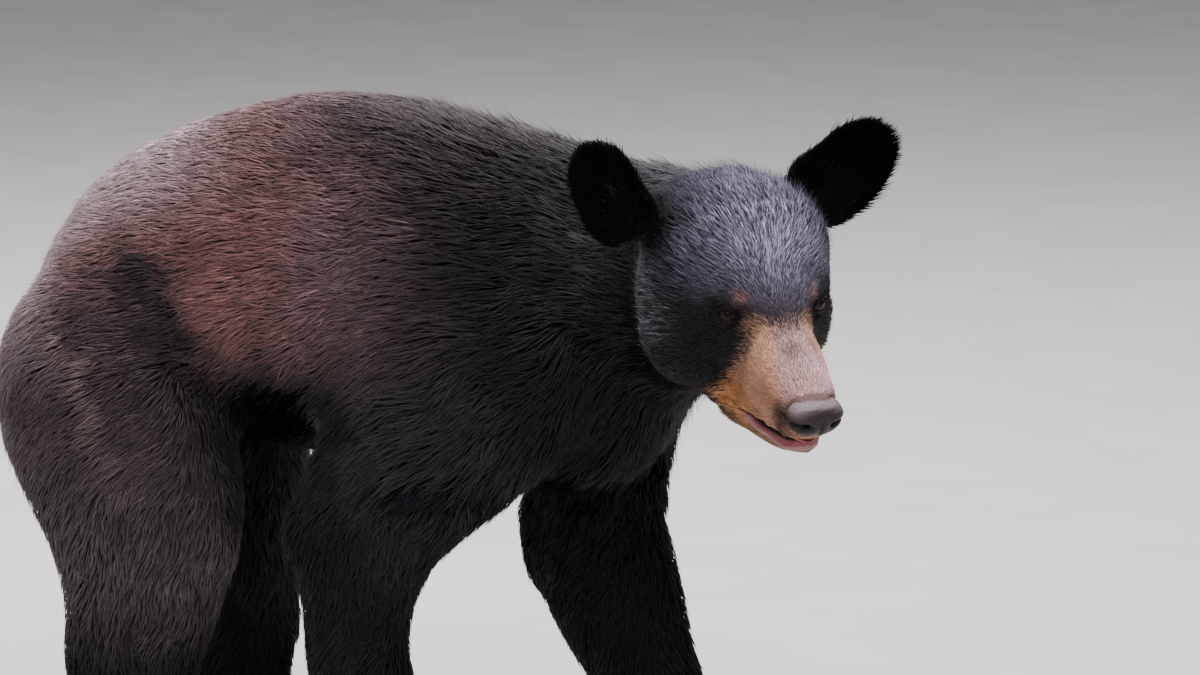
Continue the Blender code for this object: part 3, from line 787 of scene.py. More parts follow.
# For each corner of a lock: how far along it is, and how far to its side
TUFT_RUN = np.array([0, 0, 0, 0.5, 0.5, 0.5, 1.0])
TUFT_SIDE = np.array([-0.5, 0.5, 0, -0.4, 0.4, 0, 0])
SPIKE_RUN, SPIKE_SIDE = np.array([0, 0, 0, 1.0]), np.array([-0.5, 0.5, 0, 0])


def ring(spots, across, lift, top):
    """Three points round each spot: one to either side, a little sunk, and one above."""
    return [spots - across - 0.2 * lift, spots + across - 0.2 * lift, spots + top * lift]


def locks(corners, pattern):
    """Closed meshes, one for each root: arrays of their corners, joined by the same triangles."""
    points = np.stack(corners, axis=1)
    firsts = len(corners) * np.arange(len(points))[:, None, None]
    return points.reshape(-1, 3), (np.array(pattern)[None] + firsts).reshape(-1, 3)


def tufts(roots, normals, ways, long, high, wide, bend, seed):
    """Curved tapering locks as closed meshes: two rings of three points and a tip.

    Each lock starts just under the skin at its root, follows the skin's curve for 'long', and ends
    'high' above it; 'bend' is how much of that height it has already gained half way.
    """
    side = np.cross(normals, ways)
    long, high, wide = long[:, None], high[:, None], wide[:, None]
    sway = np.random.default_rng(seed).normal(0, 0.10, (len(roots), 1)) * long
    root = roots - normals * 0.4 * MM
    foot, half_up = on_sheet(roots + ways * long * 0.45 + side * sway * 0.25)
    half = foot + half_up * high * bend
    end, tip_up = on_sheet(foot + unit(foot - roots + side * sway * 0.5) * long * 0.55)
    corners = [*ring(root, side * wide * 0.5, normals * wide, 0.35),
               *ring(half, side * wide * 0.42, normals * wide * 0.8, 0.35), end + tip_up * high]
    return *locks(corners, ((0, 1, 4), (0, 4, 3), (1, 2, 5), (1, 5, 4), (2, 0, 3), (2, 3, 5),
                            (3, 4, 6), (4, 5, 6), (5, 3, 6), (0, 2, 1))), TUFT_RUN, TUFT_SIDE


def spikes(roots, normals, ways, long, high, wide, seed, hug=True):
    """Short straight hairs as closed meshes: a base of three points and a tip."""
    side = np.cross(normals, ways)
    long, high, wide = long[:, None], high[:, None], wide[:, None]
    sway = np.random.default_rng(seed).normal(0, 0.12, (len(roots), 1)) * long
    root = roots - normals * 0.3 * MM
    end = roots + ways * long + side * sway
    end, tip_up = on_sheet(end) if hug else (end, normals)
    corners = [*ring(root, side * wide * 0.5, normals * wide, 0.5), end + tip_up * high]
    return *locks(corners, ((0, 1, 3), (1, 2, 3), (2, 0, 3), (0, 2, 1))), SPIKE_RUN, SPIKE_SIDE


def shaded(base, along, seed, spread=0.22, root_dark=0.45, tip_light=1.25):
    """A colour for each point of each lock: dark at the root, lighter at the tip, each its own."""
    own = np.exp(np.random.default_rng(seed).normal(0, spread, len(base)))
    # painted shade: each lock darker towards its root, down between the locks; painted light:
    # lighter at its tip
    run = root_dark + (1 - root_dark) * ease(along, 0.0, 0.6)
    run += (tip_light - 1) * ease(along, 0.6, 1.0)
    return ((base * own[:, None])[:, None, :] * run[None, :, None]).reshape(-1, 3)


def bake_patches(mesh, places, along, around):
    """The OFBake map: each lock is a small patch at its root's place on the unwrapped skin."""
    across = 0.003
    u = places[:, 0, None] + across * around[None, :]
    v = places[:, 1, None] + across * (along[None, :] - 0.5)
    spot = np.clip(np.stack([u, v], axis=-1), 0.001, 0.999).reshape(-1, 2)
    corners = taken(mesh.loops, "vertex_index", 1, np.int32)[:, 0]
    layer = mesh.uv_layers.new(name="OFBake")
    layer.data.foreach_set("uv", spot[corners].astype(np.float32).ravel())


def unrolled(points, start, end):
    """Unwrap the skin as a tube about the line from start to end: around it, and along it."""
    start, end = np.array(start), np.array(end)
    axis = unit(end - start)
    level = unit(np.cross(axis, np.array([0.0, 0.01, 1.0])))
    top = np.cross(level, axis)
    arm = points - start
    along = (arm @ axis) / np.linalg.norm(end - start)
    angle = np.arctan2(arm @ level, arm @ top) / (2 * math.pi) + 0.5
    return np.stack([0.01 + 0.98 * angle, 0.01 + 0.98 * np.clip(along, 0, 1)], axis=1)


# ---------------------------------------------------------------- materials

def add(tree, kind, settings=None, inputs=None, links=None):
    """Add one node, set its own settings and inputs, and join the named sockets to it."""
    node = tree.nodes.new(kind)
    for name, value in (settings or {}).items():
        setattr(node, name, value)
    for name, value in (inputs or {}).items():
        node.inputs[name].default_value = value
    for name, socket in (links or {}).items():
        tree.links.new(socket, node.inputs[name])
    return node


def blank(name):
    """A new material with an empty tree, and the object's own coordinates in it."""
    material = bpy.data.materials.new(name)
    material.use_nodes = True
    tree = material.node_tree
    tree.nodes.clear()
    return material, tree, add(tree, "ShaderNodeTexCoord").outputs["Object"]


def finished(material, inputs, links):
    """Close a material with its one shader and the output."""
    tree = material.node_tree
    shader = add(tree, "ShaderNodeBsdfPrincipled", inputs=inputs, links=links)
    add(tree, "ShaderNodeOutputMaterial", links={"Surface": shader.outputs["BSDF"]})
    return material


def grain(tree, place, scale, detail=2.0):
    """Smooth noise over space; the scale is about one over the size of its spots in metres."""
    return add(tree, "ShaderNodeTexNoise", inputs={"Scale": scale, "Detail": detail},
               links={"Vector": place}).outputs["Fac"]


def ramp(tree, factor, stops):
    """A colour ramp with the given (position, value or colour) stops."""
    node = add(tree, "ShaderNodeValToRGB", links={"Fac": factor})
    while len(node.color_ramp.elements) < len(stops):
        node.color_ramp.elements.new(0.5)
    for element, (position, value) in zip(node.color_ramp.elements, stops):
        element.position = position
        element.color = (*(value if np.ndim(value) else (value,) * 3), 1)
    return node.outputs["Color"]


def bumped(tree, height, strength, distance, invert=False):
    """The normal of a surface raised by a height of the given greatest size in metres."""
    return add(tree, "ShaderNodeBump", {"invert": invert},
               {"Strength": strength, "Distance": distance}, {"Height": height}).outputs["Normal"]


def tinted(tree, shade=None):
    """The mesh's own Hair Colour, times a shade where one is given."""
    tint = add(tree, "ShaderNodeAttribute", {"attribute_name": "Hair Colour"}).outputs["Color"]
    if shade is None:
        return tint
    return add(tree, "ShaderNodeMix", {"data_type": 'RGBA', "blend_type": 'MULTIPLY'},
               {"Factor": 1.0}, {"A": tint, "B": shade}).outputs["Result"]


def guard_hair(name, gloss):
    """Outer coat of a black bear: straight, clean, lightly oiled guard hair.

    Each lock keeps its own tint; fine streaks run through it, and the low sheen along it is what
    makes a dark coat look deep rather than flat. Head, ears and underside have duller, finer hair.
    """
    material, tree, place = blank(name)
    # single hairs are 0.1 mm thick, drawn here as 0.8 mm strands so that they still show
    shade = ramp(tree, grain(tree, place, 1250.0, 1.0), ((0.3, 0.72), (0.7, 1.22)))
    return finished(material, {"Roughness": 0.5, "Specular IOR Level": gloss,
                               "Sheen Weight": 0.2 * gloss, "Sheen Roughness": 0.4},
                    {"Base Color": tinted(tree, shade)})


def short_fur():
    """Underfur and short flat hair on the skin, seen between the locks and on muzzle and feet."""
    material, tree, place = blank("Short Dense Fur")
    # nap of the underfur, about 1 mm from tuft to tuft, and 4 mm patches where it parts
    nap, parting = grain(tree, place, 1000.0), grain(tree, place, 250.0, 1.0)
    both = add(tree, "ShaderNodeMath", {"operation": 'ADD'})
    tree.links.new(nap, both.inputs[0])
    tree.links.new(parting, both.inputs[1])
    return finished(material,
                    {"Roughness": 0.72, "Specular IOR Level": 0.3, "Sheen Weight": 0.1},
                    {"Base Color": tinted(tree, ramp(tree, nap, ((0.3, 0.45), (0.7, 1.05)))),
                     "Normal": bumped(tree, both.outputs["Value"], 0.6, 0.8 * MM)})


def nose_leather():
    """Bare nose skin: moist, finely pebbled, dark brown-grey, with a paler bluish top that is a
    painted highlight.
    """
    material, tree, place = blank("Moist Nose Leather")
    # pebbles of about 1.1 mm
    pebbles = add(tree, "ShaderNodeTexVoronoi", {"feature": 'F1'}, {"Scale": 900.0},
                  {"Vector": place}).outputs["Distance"]
    shade = ramp(tree, pebbles, ((0.1, 1.1), (0.8, 0.62)))
    # wet and drying patches, some 6 mm across
    wet = ramp(tree, grain(tree, place, 160.0), ((0.35, 0.38), (0.7, 0.62)))
    return finished(material,
                    {"Specular IOR Level": 0.3, "Coat Weight": 0.10, "Coat Roughness": 0.25},
                    {"Base Color": tinted(tree, shade), "Roughness": wet,
                     "Normal": bumped(tree, pebbles, 0.9, 0.8 * MM, True)})


def wet_tongue():
    """Tongue: bare wet skin, smooth, a little translucent, with faint mottling."""
    material, tree, place = blank("Wet Tongue")
    mottle = grain(tree, place, 300.0, 3.0)
    flesh = TINTS["tongue"]
    return finished(material,
                    {"Roughness": 0.3, "Subsurface Weight": 0.08, "Subsurface Scale": 3.0 * MM,
                     "Coat Weight": 0.3, "Coat Roughness": 0.15},
                    {"Base Color": ramp(tree, mottle, ((0.3, flesh * 0.7), (0.7, flesh * 1.25))),
                     "Normal": bumped(tree, mottle, 0.3, 0.3 * MM)})


def eyelid_skin():
    """Eyelid: dark, bare, soft skin, moist along the edge, with fine creases."""
    material, tree, place = blank("Moist Eyelid Skin")
    creases = grain(tree, place, 900.0)
    return finished(material, {"Specular IOR Level": 0.10},
                    {"Base Color": tinted(tree),
                     "Roughness": ramp(tree, creases, ((0.3, 0.5), (0.7, 0.7))),
                     "Normal": bumped(tree, creases, 0.4, 0.3 * MM)})


def wet_eye():
    """A living eye: round black pupil, dark brown iris with paler flecks, under a wet cornea.

    It reads how far each point is from the eye's own axis: 0 in the middle, 1 at 90 degrees.
    """
    material, tree, place = blank("Wet Brown Eye")
    off_axis = add(tree, "ShaderNodeAttribute", {"attribute_name": "Off Axis"}).outputs["Fac"]
    iris = ramp(tree, grain(tree, place, 1600.0),
                ((0.3, TINTS["iris"]), (0.7, TINTS["iris_fleck"])))
    black = add(tree, "ShaderNodeMix", {"data_type": 'RGBA'}, {"A": (*TINTS["pupil"], 1)},
                {"Factor": ramp(tree, off_axis, ((0.17, 0.0), (0.20, 1.0))), "B": iris})
    white = add(tree, "ShaderNodeMix", {"data_type": 'RGBA'}, {"B": (*TINTS["eye_white"], 1)},
                {"Factor": ramp(tree, off_axis, ((0.42, 0.0), (0.48, 1.0))),
                 "A": black.outputs["Result"]})
    return finished(material,
                    {"Roughness": 0.35, "Specular IOR Level": 0.12, "Coat Weight": 0.22,
                     "Coat Roughness": 0.03, "Coat IOR": 1.34},
                    {"Base Color": white.outputs["Result"]})


def claw_horn():
    """Claw: smooth dark horn, nearly black at the root and browner where the tip is worn."""
    material, tree, place = blank("Worn Claw Horn")
    # growth lines run along the claw, about 0.7 mm apart
    stretched = add(tree, "ShaderNodeMapping", inputs={"Scale": (60.0, 1400.0, 700.0)},
                    links={"Vector": place}).outputs["Vector"]
    lines = grain(tree, stretched, 1.0)
    return finished(material, {"IOR": 1.54, "Specular IOR Level": 0.22},
                    {"Base Color": tinted(tree),
                     "Roughness": ramp(tree, lines, ((0.3, 0.42), (0.7, 0.58))),
                     "Normal": bumped(tree, lines, 0.35, 0.3 * MM)})


def studio_floor():
    """The floor: pale matt paper sweep, with the faintest mottling."""
    material, tree, place = blank("Matt Paper Floor")
    colour = ramp(tree, grain(tree, place, 8.0),
                  ((0.3, TINTS["paper"]), (0.7, TINTS["paper_pale"])))
    return finished(material, {"Roughness": 0.9, "Specular IOR Level": 0.2},
                    {"Base Color": colour})


MATERIALS = {}      # those made so far


def finish_of(make, *settings):
    """The material that 'make' gives, made once and then shared."""
    key = (make.__name__, *settings)
    if key not in MATERIALS:
        MATERIALS[key] = make(*settings)
    return MATERIALS[key]


# ---------------------------------------------------------------- settings

def length_setting(name, description, default):
    return FloatProperty(name=name, description=description, default=default, unit='LENGTH')


def angle_setting(name, description, degrees):
    return FloatProperty(name=name, description=description, default=math.radians(degrees),
                         subtype='ANGLE')


def colour_setting(name, description, tint):
    return FloatVectorProperty(name=name, description=description, default=tuple(TINTS[tint]),
                               subtype='COLOR', min=0, max=1)


class BearSizes(bpy.types.PropertyGroup):
    hair_share: FloatProperty(
        name="Coat Fullness", description="Share of the full number of locks", default=1.0,
        min=0.05, max=1.2)
    lock_width: length_setting("Lock Width", "Width of a lock on the body", 2.0 * MM)
    face_hair_width: length_setting("Face Hair Width", "Width of a hair on the face", 0.9 * MM)
    eye_width: length_setting("Eye Opening", "Width of the slit between the lids", 16.5 * MM)


class BearColours(bpy.types.PropertyGroup):
    black: colour_setting("Black", "Most of the coat", "black")
    brown: colour_setting("Brown", "Back and flanks", "brown")
    rump: colour_setting("Rump", "Pale hair on the rump", "rump")
    thigh: colour_setting("Thigh", "Outer side of the thigh", "thigh")
    grizzle_pale: colour_setting("Grizzle", "Pale hairs on the forehead", "grizzle_pale")
    tan: colour_setting("Tan", "Sides of the muzzle", "tan")
    orange: colour_setting("Orange", "Corners of the mouth", "orange")
    mauve: colour_setting("Mauve", "Bridge of the muzzle", "mauve")
    ear: colour_setting("Ear", "Both sides of the ears", "ear")


class BearStage(bpy.types.PropertyGroup):
    floor_size: length_setting("Floor Size", "Side of the floor", 40.0)
    view_turn: angle_setting(
        "View Turn", "How far the camera stands round from the bear's right side", 22.0)
    view_rise: angle_setting("View Rise", "How far above level the camera stands", 9.0)
    view_distance: length_setting("View Distance", "From the camera to the bear", 7.0)
    lens: FloatProperty(
        name="Lens", description="Focal length of the camera in millimetres", default=247.06)


def take_colours(context):
    """Put the colours chosen in the panel in place of the palette's own."""
    chosen = context.scene.bear_colours
    for name in BearColours.__annotations__:
        TINTS[name] = np.array(getattr(chosen, name))


# ---------------------------------------------------------------- skin

BODY, JAW, EAR_RIGHT, EAR_LEFT = range(4)


def skin_colours(points, region):
    """Markings at the root of the hair, darker than the hair itself; bare lips keep their own.

    The skin's darkening is painted shade between the locks. The lip is pale at its edge, red deeper
    inside, and dark in the gap between the lips with painted shade.
    """
    # painted shade: the skin between the locks darker than the hair's markings
    colours = markings(points) * 0.55
    colours[region >= EAR_RIGHT] = TINTS["ear"]
    head = to_head(points)
    ahead, below = head[:, 0], below_lips(head)
    front = ease(ahead, 0.030, 0.055)
    deeper = 0.0035 * ease(ahead, 0.055, 0.080)
    mouth = washed(TINTS["lip"] * (1 - 0.45 * ease(ahead, 0.03, 0.0))[:, None],
                   (ease(below, 0.0075 + deeper, 0.0040 + deeper) * front, "lip_inside"),
                   # painted shade in the gap between the lips
                   (ease(below, 0.0035, 0.0012) * front, "lip_gap_shade"))
    return blended(colours, lip_share(head) * (region == JAW), mouth)


class BEAR_OT_skin(bpy.types.Operator):
    """Fuse the flesh solids into one skin, inside them by the coat's depth"""
    bl_idname = "bear.skin"
    bl_label = "Skin"

    def execute(self, context):
        take_colours(context)
        body, lower, ears = build_skin()
        flesh = together([body, lower])
        SHEET["body"] = sheet_of(flesh[0], corner_normals(*flesh))
        parts = [body, lower, *ears]
        points, faces = together(parts)
        region = np.repeat(range(len(parts)), [len(part[0]) for part in parts])
        mesh = placed("skin", finish_of(short_fur), points, faces,
                      skin_colours(points, region), FLESH + ["jaw", "ear_left", "ear_right"])
        kept(mesh, "Part", 'INT', region.astype(np.int32))
        return {'FINISHED'}


# ---------------------------------------------------------------- eyes

def eyeball(side):
    """A sphere about the eye's axis, with a second, smaller sphere's cap for the cornea.

    The radius is the eyeball's, plus a cornea bulge of 0.9 mm that falls to nothing 35 degrees
    from the axis.
    """
    centre, *axes = eye_frame(side)
    polar = np.linspace(0, math.pi, 40)[1:-1]
    radius = EYE_RADIUS - 0.2 * MM + 0.9 * MM * (1 - ease(np.degrees(polar), 5, 35))
    grid = centre + radius[:, None, None] * (directions(polar, 64) @ np.array(axes))
    points, faces = shell(grid)
    cosine = unit(points - centre) @ axes[0]
    return points, faces, np.arccos(np.clip(cosine, 0, 1)) / (math.pi / 2)


def lids(side, width):
    """A ring of flesh round the eye: a rounded section carried round an almond on the eyeball.

    The almond's half width and half height are angles on the ball; its corners are drawn to points
    by raising the sine of the lower and upper lid to a power. The section is an ellipse that starts
    at the opening and leans away from it.
    """
    centre, look, slit, rise = eye_frame(side)
    wide = math.asin(min(width / 2 / EYE_RADIUS, 0.95))
    turn, section = circle(96), circle(14)
    sine = np.sin(turn)
    upper = sine > 0
    up = np.where(upper, 0.54, 0.46) * wide * np.sign(sine) * np.abs(sine) ** 1.15
    across = wide * np.cos(turn)
    way = unit(look + np.tan(across)[:, None] * slit + np.tan(up)[:, None] * rise)
    ahead = unit(np.roll(way, -1, axis=0) - np.roll(way, 1, axis=0))
    out = unit(np.cross(ahead, way))
    out *= np.sign((out * (way - look)).sum(axis=1))[:, None]
    thick = np.where(upper, 1.35, 0.95)[:, None] * (0.75 + np.sin(section)) * MM
    rest = EYE_RADIUS - 0.1 * MM + 1.3 * MM * np.cos(turn)[:, None] ** 6
    lean = 1.7 * MM * (1 + np.cos(section)) - 0.3 * MM
    grid = (centre + way[:, None] * (rest + thick)[..., None]
            + out[:, None] * lean[None, :, None])
    points, faces = hoop(grid)
    inner = bell(section, 1.15 * math.pi, 0.5)[None, :]
    rim = inner * np.where(sine < 0, np.abs(sine) ** 0.5, 0)[:, None]
    return points, faces, rim.ravel()


class BEAR_OT_eyes(bpy.types.Operator):
    """Make both eyeballs with their corneas, and the lids round them"""
    bl_idname = "bear.eyes"
    bl_label = "Eyes and Lids"

    def execute(self, context):
        for side, word in SIDES.items():
            points, faces, off_axis = eyeball(side)
            mesh = placed(f"eyeball_{word}", finish_of(wet_eye), from_head(points), faces,
                          nodes=[f"eye_{word}"])
            kept(mesh, "Off Axis", 'FLOAT', off_axis.astype(np.float32))
            points, faces, rim = lids(side, context.scene.bear_sizes.eye_width)
            placed(f"lids_{word}", finish_of(eyelid_skin), from_head(points), faces,
                   washed(TINTS["lid"], (rim, "lid_rim")))
        return {'FINISHED'}


# ---------------------------------------------------------------- nose and mouth

def nose_pad():
    """The bare nose: an ellipsoid seen from its front pole, shaped by bells of height.

    Each nostril is a deep bell off the middle with a slit that runs out and back, the groove a
    long narrow bell down the front, and the wings a raised ring round each nostril.
    """
    way = directions(np.linspace(0, math.radians(128), 90)[1:], 140)
    flat = way.reshape(-1, 3)
    both = mirrored(flat)
    pit = mound(both, (0.76, 0.58, -0.20), (0.30, 0.22, 0.18))
    slit = mound(both, (0.42, 0.88, -0.12), (0.32, 0.28, 0.10))
    wing = mound(both, (0.70, 0.62, -0.06), (0.50, 0.36, 0.40))
    groove = bell(flat[:, 1], 0, 0.07) * ease(flat[:, 2], 0.25, -0.25) * (flat[:, 0] > 0)
    lift = 2.2 * wing - 9.0 * pit - 3.5 * slit - 2.0 * groove
    lift += 0.30 * murmur(flat, 0.16, 31) + 0.22 * murmur(flat, 0.07, 32)
    points = NOSE_AT + flat * (NOSE_RADII + lift[:, None] * MM)
    points[:, 2] -= 3.0 * MM * ease(flat[:, 2], 0.55, 1.0)
    return shell(points.reshape(way.shape))


def nose_colours(head):
    """Dark brown-grey; a painted highlight makes the top plane bluish, painted shade makes the
    nostrils nearly black, and it is darker towards the bottom.
    """
    local = (head - NOSE_AT) / NOSE_RADII
    # painted highlight: paler and bluish on the top plane
    top = ease(local[:, 2], 0.02, 0.72) * ease(local[:, 0], 0.95, 0.40)
    # painted shade: nearly black in the nostrils; also darker towards the bottom
    pit = mound(mirrored(local), (0.58, 0.52, -0.18), (0.34, 0.26, 0.20))
    dark = (1 - 0.92 * np.clip(1.4 * pit, 0, 1)) * (1 - 0.75 * ease(local[:, 2], 0.2, -0.5))
    return washed(TINTS["nose"], (0.85 * top, "nose_top_highlight")) * dark[:, None]


def tongue_shape():
    """A flat tongue on the floor of the mouth: a long ellipse with a groove down its middle."""
    centre, radii = np.array([72.0, 0.0, -77.0]) * MM, np.array([24.0, 13.0, 4.0]) * MM
    way = directions(np.linspace(0, math.pi, 30)[1:-1], 48)
    points = centre + way * radii
    points[..., 2] -= 1.2 * MM * bell(way[..., 1], 0, 0.25) * (way[..., 2] > 0)
    return shell(points)


class BEAR_OT_nose_and_mouth(bpy.types.Operator):
    """Make the bare nose and the tongue"""
    bl_idname = "bear.nose_and_mouth"
    bl_label = "Nose and Mouth"

    def execute(self, context):
        points, faces = nose_pad()
        placed("nose_pad", finish_of(nose_leather), from_head(points), faces,
               nose_colours(points), ["nose"])
        points, faces = tongue_shape()
        placed("tongue_flesh", finish_of(wet_tongue), from_head(points), faces,
               nodes=["tongue"])
        return {'FINISHED'}


# ---------------------------------------------------------------- claws

def claw_shape(low, high):
    """A tapering claw along a curve from the toe to the ground, inside a box from low to high.

    The path is a quadratic curve of three points; the section is an ellipse, taller than wide,
    whose size falls as a power of what is left of the path.
    """
    thick = high[1] - low[1]
    start = np.array([low[0], (low[1] + high[1]) / 2, high[2] - thick * 0.6])
    tip = np.array([high[0], start[1], low[2]])
    bend = np.array([low[0] + 0.62 * (high[0] - low[0]), start[1], high[2] + 0.1 * thick])
    t, turn = np.linspace(0, 1, 16)[:, None], circle(14)[None, :]
    path = (1 - t) ** 2 * start + 2 * t * (1 - t) * bend + t ** 2 * tip
    ahead = unit(2 * (1 - t) * (bend - start) + 2 * t * (tip - bend))
    across = np.array([0.0, 1.0, 0.0])
    up = np.cross(ahead, across)
    radius = thick * 0.5 * np.maximum(1 - t, 0.004) ** 0.62
    grid = (path[:, None] + (radius * np.cos(turn))[..., None] * across
            + (1.25 * radius * np.sin(turn))[..., None] * up[:, None])
    points, faces = shell(grid)
    return points, faces, np.concatenate([np.repeat(t[:, 0], turn.size), [0.0, 1.0]])


class BEAR_OT_claws(bpy.types.Operator):
    """Make the twenty claws"""
    bl_idname = "bear.claws"
    bl_label = "Claws"

    def execute(self, context):
        claws = [claw_shape(*(np.array(corner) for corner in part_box(node))) for node in CLAWS]
        points, faces = together([(points, faces) for points, faces, _ in claws])
        worn = ease(np.concatenate([share for _, _, share in claws]), 0.3, 1.0)
        placed("claws", finish_of(claw_horn), points, faces,
               washed(TINTS["claw"], (worn, "claw_worn")), CLAWS)
        return {'FINISHED'}


# ---------------------------------------------------------------- coat pieces

# Where one coat ends and the next begins
FORE_X = -0.05           # forelegs are in front of this, hind legs behind it
FLANK_X = SHOULDER_X - 0.06
RUMP_X = -0.24
CHEST_Z, BELLY_Z, LEG_Z, PAW_Z = 0.30, 0.37, 0.20, 0.068
FACE_EDGE = -0.030       # in the head's frame
BARE_ROUND_EYE = 44      # no hair grows this close to the eye's axis, degrees


def skin_regions():
    """The skin's points and triangles, which coat each triangle is in, and the triangles' middles.

    Every triangle goes by its middle, with a speckle on all borders so that no edge is a line.
    """
    mesh = bpy.data.objects["skin"].data
    points, faces = mesh_points(mesh), mesh_triangles(mesh)
    part = taken(mesh.attributes["Part"].data, "value", 1, np.int32)[faces[:, 0], 0]
    spot = points[faces].mean(axis=1)
    x, y, z = spot.T
    speckle = murmur(spot, 2.2 * MM, 61)
    head = to_head(spot)
    on_head, on_leg, _ = part_shares(spot)
    on_head += 0.45 * speckle * (on_head > 0)
    on_leg += 0.45 * speckle * (on_leg > 0)
    up = unit(crosses(points, faces))[:, 2]
    body = part == BODY
    is_head = body & (on_head > 0.5)
    is_paw = body & (z < PAW_Z + 0.012 * speckle)
    is_leg = body & ~is_paw & ~is_head & ((on_leg > 0.5) | (z < LEG_Z))
    rest = body & ~is_head & ~is_paw & ~is_leg
    bare = (((head - NOSE_AT) / (NOSE_RADII * 0.98)) ** 2).sum(axis=1) < 1
    bare |= (part == JAW) & (lip_share(head) > 0.5)
    for side in (RIGHT, LEFT):
        centre, look, slit, _ = eye_frame(side)
        arm = head - centre
        near = np.linalg.norm(arm, axis=1) < EYE_RADIUS * 1.6
        bare |= near & (eye_angle(arm, look, slit) < BARE_ROUND_EYE)
    ahead = head[:, 0] > FACE_EDGE + 0.016 * speckle
    right, fore = y < MIDDLE_Y + 0.010 * speckle, x > FORE_X
    along = x + 0.020 * speckle
    front = along > FLANK_X
    belly = ~front & (up < -0.35 + 0.25 * speckle) & (z < BELLY_Z)
    flank = rest & ~front & ~belly & (along > RUMP_X)
    return points, faces, {
        "face": ((is_head & ahead) | (part == JAW)) & ~bare,
        "forehead": is_head & ~ahead,
        "ears": part >= EAR_RIGHT,
        "neck": rest & front & (z > CHEST_Z),
        "flank_right": flank & right,
        "flank_left": flank & ~right,
        "rump": rest & ~front & ~belly & (along <= RUMP_X),
        "underside": rest & ((front & (z <= CHEST_Z)) | belly),
        "forelegs": is_leg & fore,
        "hindlegs": is_leg & ~fore,
        "paws": is_paw & ~((up < -0.6) & (z < 0.010)),
    }, spot


# Length in mm, width and height as shares of the coat's own, bend, and count
BODY_COATS = {
    "neck": (36, 1.10, 1.05, 0.66, 17500),
    "flank_right": (27, 0.95, 0.86, 0.78, 16000),
    "flank_left": (27, 0.95, 0.86, 0.78, 15000),
    "rump": (28, 0.95, 0.90, 0.75, 17500),
    "underside": (30, 1.1, 0.95, 0.68, 11500),
    "forelegs": (20, 0.90, 1.00, 0.72, 13000),
    "hindlegs": (20, 0.90, 1.00, 0.72, 14000),
    "forehead": (14, 0.70, 1.00, 0.62, 15000),
}
# The same for the short hair, which has no bend
FINE_COATS = {"face": (5.5, 0.95, 0.95, 38000), "paws": (9.0, 1.5, 0.85, 18000)}
EAR_HAIRS = 20000
# Share of long thin hairs that stand out of the coat, and how many times as high as the rest
STRAYS = {"neck": (0.22, 1.6), "underside": (0.20, 1.6), "forehead": (0.35, 1.8),
          "rump": (0.12, 1.5)}
FEW_STRAYS = 0.10, 1.4
# Hair that is duller than the rest, and its gloss
FINISHES = {"underside": ("Soft Belly Hair", 0.02), "forehead": ("Fine Forehead Hair", 0.08),
            "face": ("Fine Head Hair", 0.14), "ears": ("Soft Ear Hair", 0.06)}
OILED = "Guard Hair, Oiled", 0.24
# How much single locks differ, and how dark the painted shade at their root is, where the coat is
# pale
CONTRAST = {"rump": (0.14, 0.62), "flank_right": (0.17, 0.55), "flank_left": (0.17, 0.55)}


def unrolled_place(name, roots):
    """Where each root lies on the skin's own unwrap, for the bake map."""
    if name in ("face", "forehead"):
        return unrolled(to_head(roots), (-0.15, 0, -0.03), (0.13, 0, -0.05))
    if name in ("forelegs", "hindlegs", "paws"):
        return unrolled_legs(roots)
    if name == "ears":
        return unrolled_ears(to_head(roots))
    return unrolled(roots, (-0.43, MIDDLE_Y, 0.43), (0.35, MIDDLE_Y, 0.45))


def unrolled_legs(points):
    """Unwrap each leg as an upright tube, side by side, one quarter of the map for each."""
    fore, left = points[:, 0] > FORE_X, points[:, 1] > MIDDLE_Y
    centre = np.zeros((len(points), 2))
    for end in ENDS:
        for word in SIDES.values():
            here = (fore == (end == "fore")) & (left == (word == "left"))
            foot, hip = middle(f"{end}paw_{word}"), middle(f"{end}leg_upper_{word}")
            rise = ((points[here, 2] - foot[2]) / (hip[2] - foot[2]))[:, None]
            centre[here] = foot[:2] + (hip[:2] - foot[:2]) * rise
    arm = points[:, :2] - centre
    angle = np.arctan2(arm[:, 1], arm[:, 0]) / (2 * math.pi) + 0.5
    across = (fore * 2 + left + 0.04 + 0.92 * angle) / 4
    return np.stack([across, 0.02 + np.clip(points[:, 2] / 0.45, 0, 0.96)], axis=1)


def unrolled_ears(head):
    """Lay front and back of both ears flat, one quarter of the map for each."""
    spots = np.zeros((len(head), 2))
    for side in (RIGHT, LEFT):
        centre, up, look, wide, _ = ear_frame(side)
        here = np.sign(head[:, 1]) == side
        arm = head[here] - centre
        back = (arm @ look < -0.008).astype(float)
        spots[here, 0] = 0.25 + 0.5 * (side > 0) + 3.0 * (arm @ wide)
        spots[here, 1] = 0.25 + 0.5 * back + 2.8 * (arm @ up)
    return spots


def combed(roots, normals, seed, strength=1.0):
    """The lie of the coat with clumps: whole patches of hair turn a little together."""
    turn = 0.36 * murmur(roots, 0.036, seed) + 0.34 * murmur(roots, 0.014, seed + 1)
    turn = strength * (turn + 0.10 * murmur(roots, 0.004, seed + 2))
    return turned(lie(roots, normals), normals, turn)


def planted(name, sizes, count, seed):
    """Random roots in one coat's region, and the normals there; thicker set on the muzzle."""
    points, faces, inside, spot = skin_regions()
    crowding = inside[name].astype(float)
    if name == "face":
        crowding *= 1 + 1.2 * ease(to_head(spot)[:, 0], -0.01, 0.02)
    return rooted(points, faces, crowding, int(count * sizes.hair_share), seed)


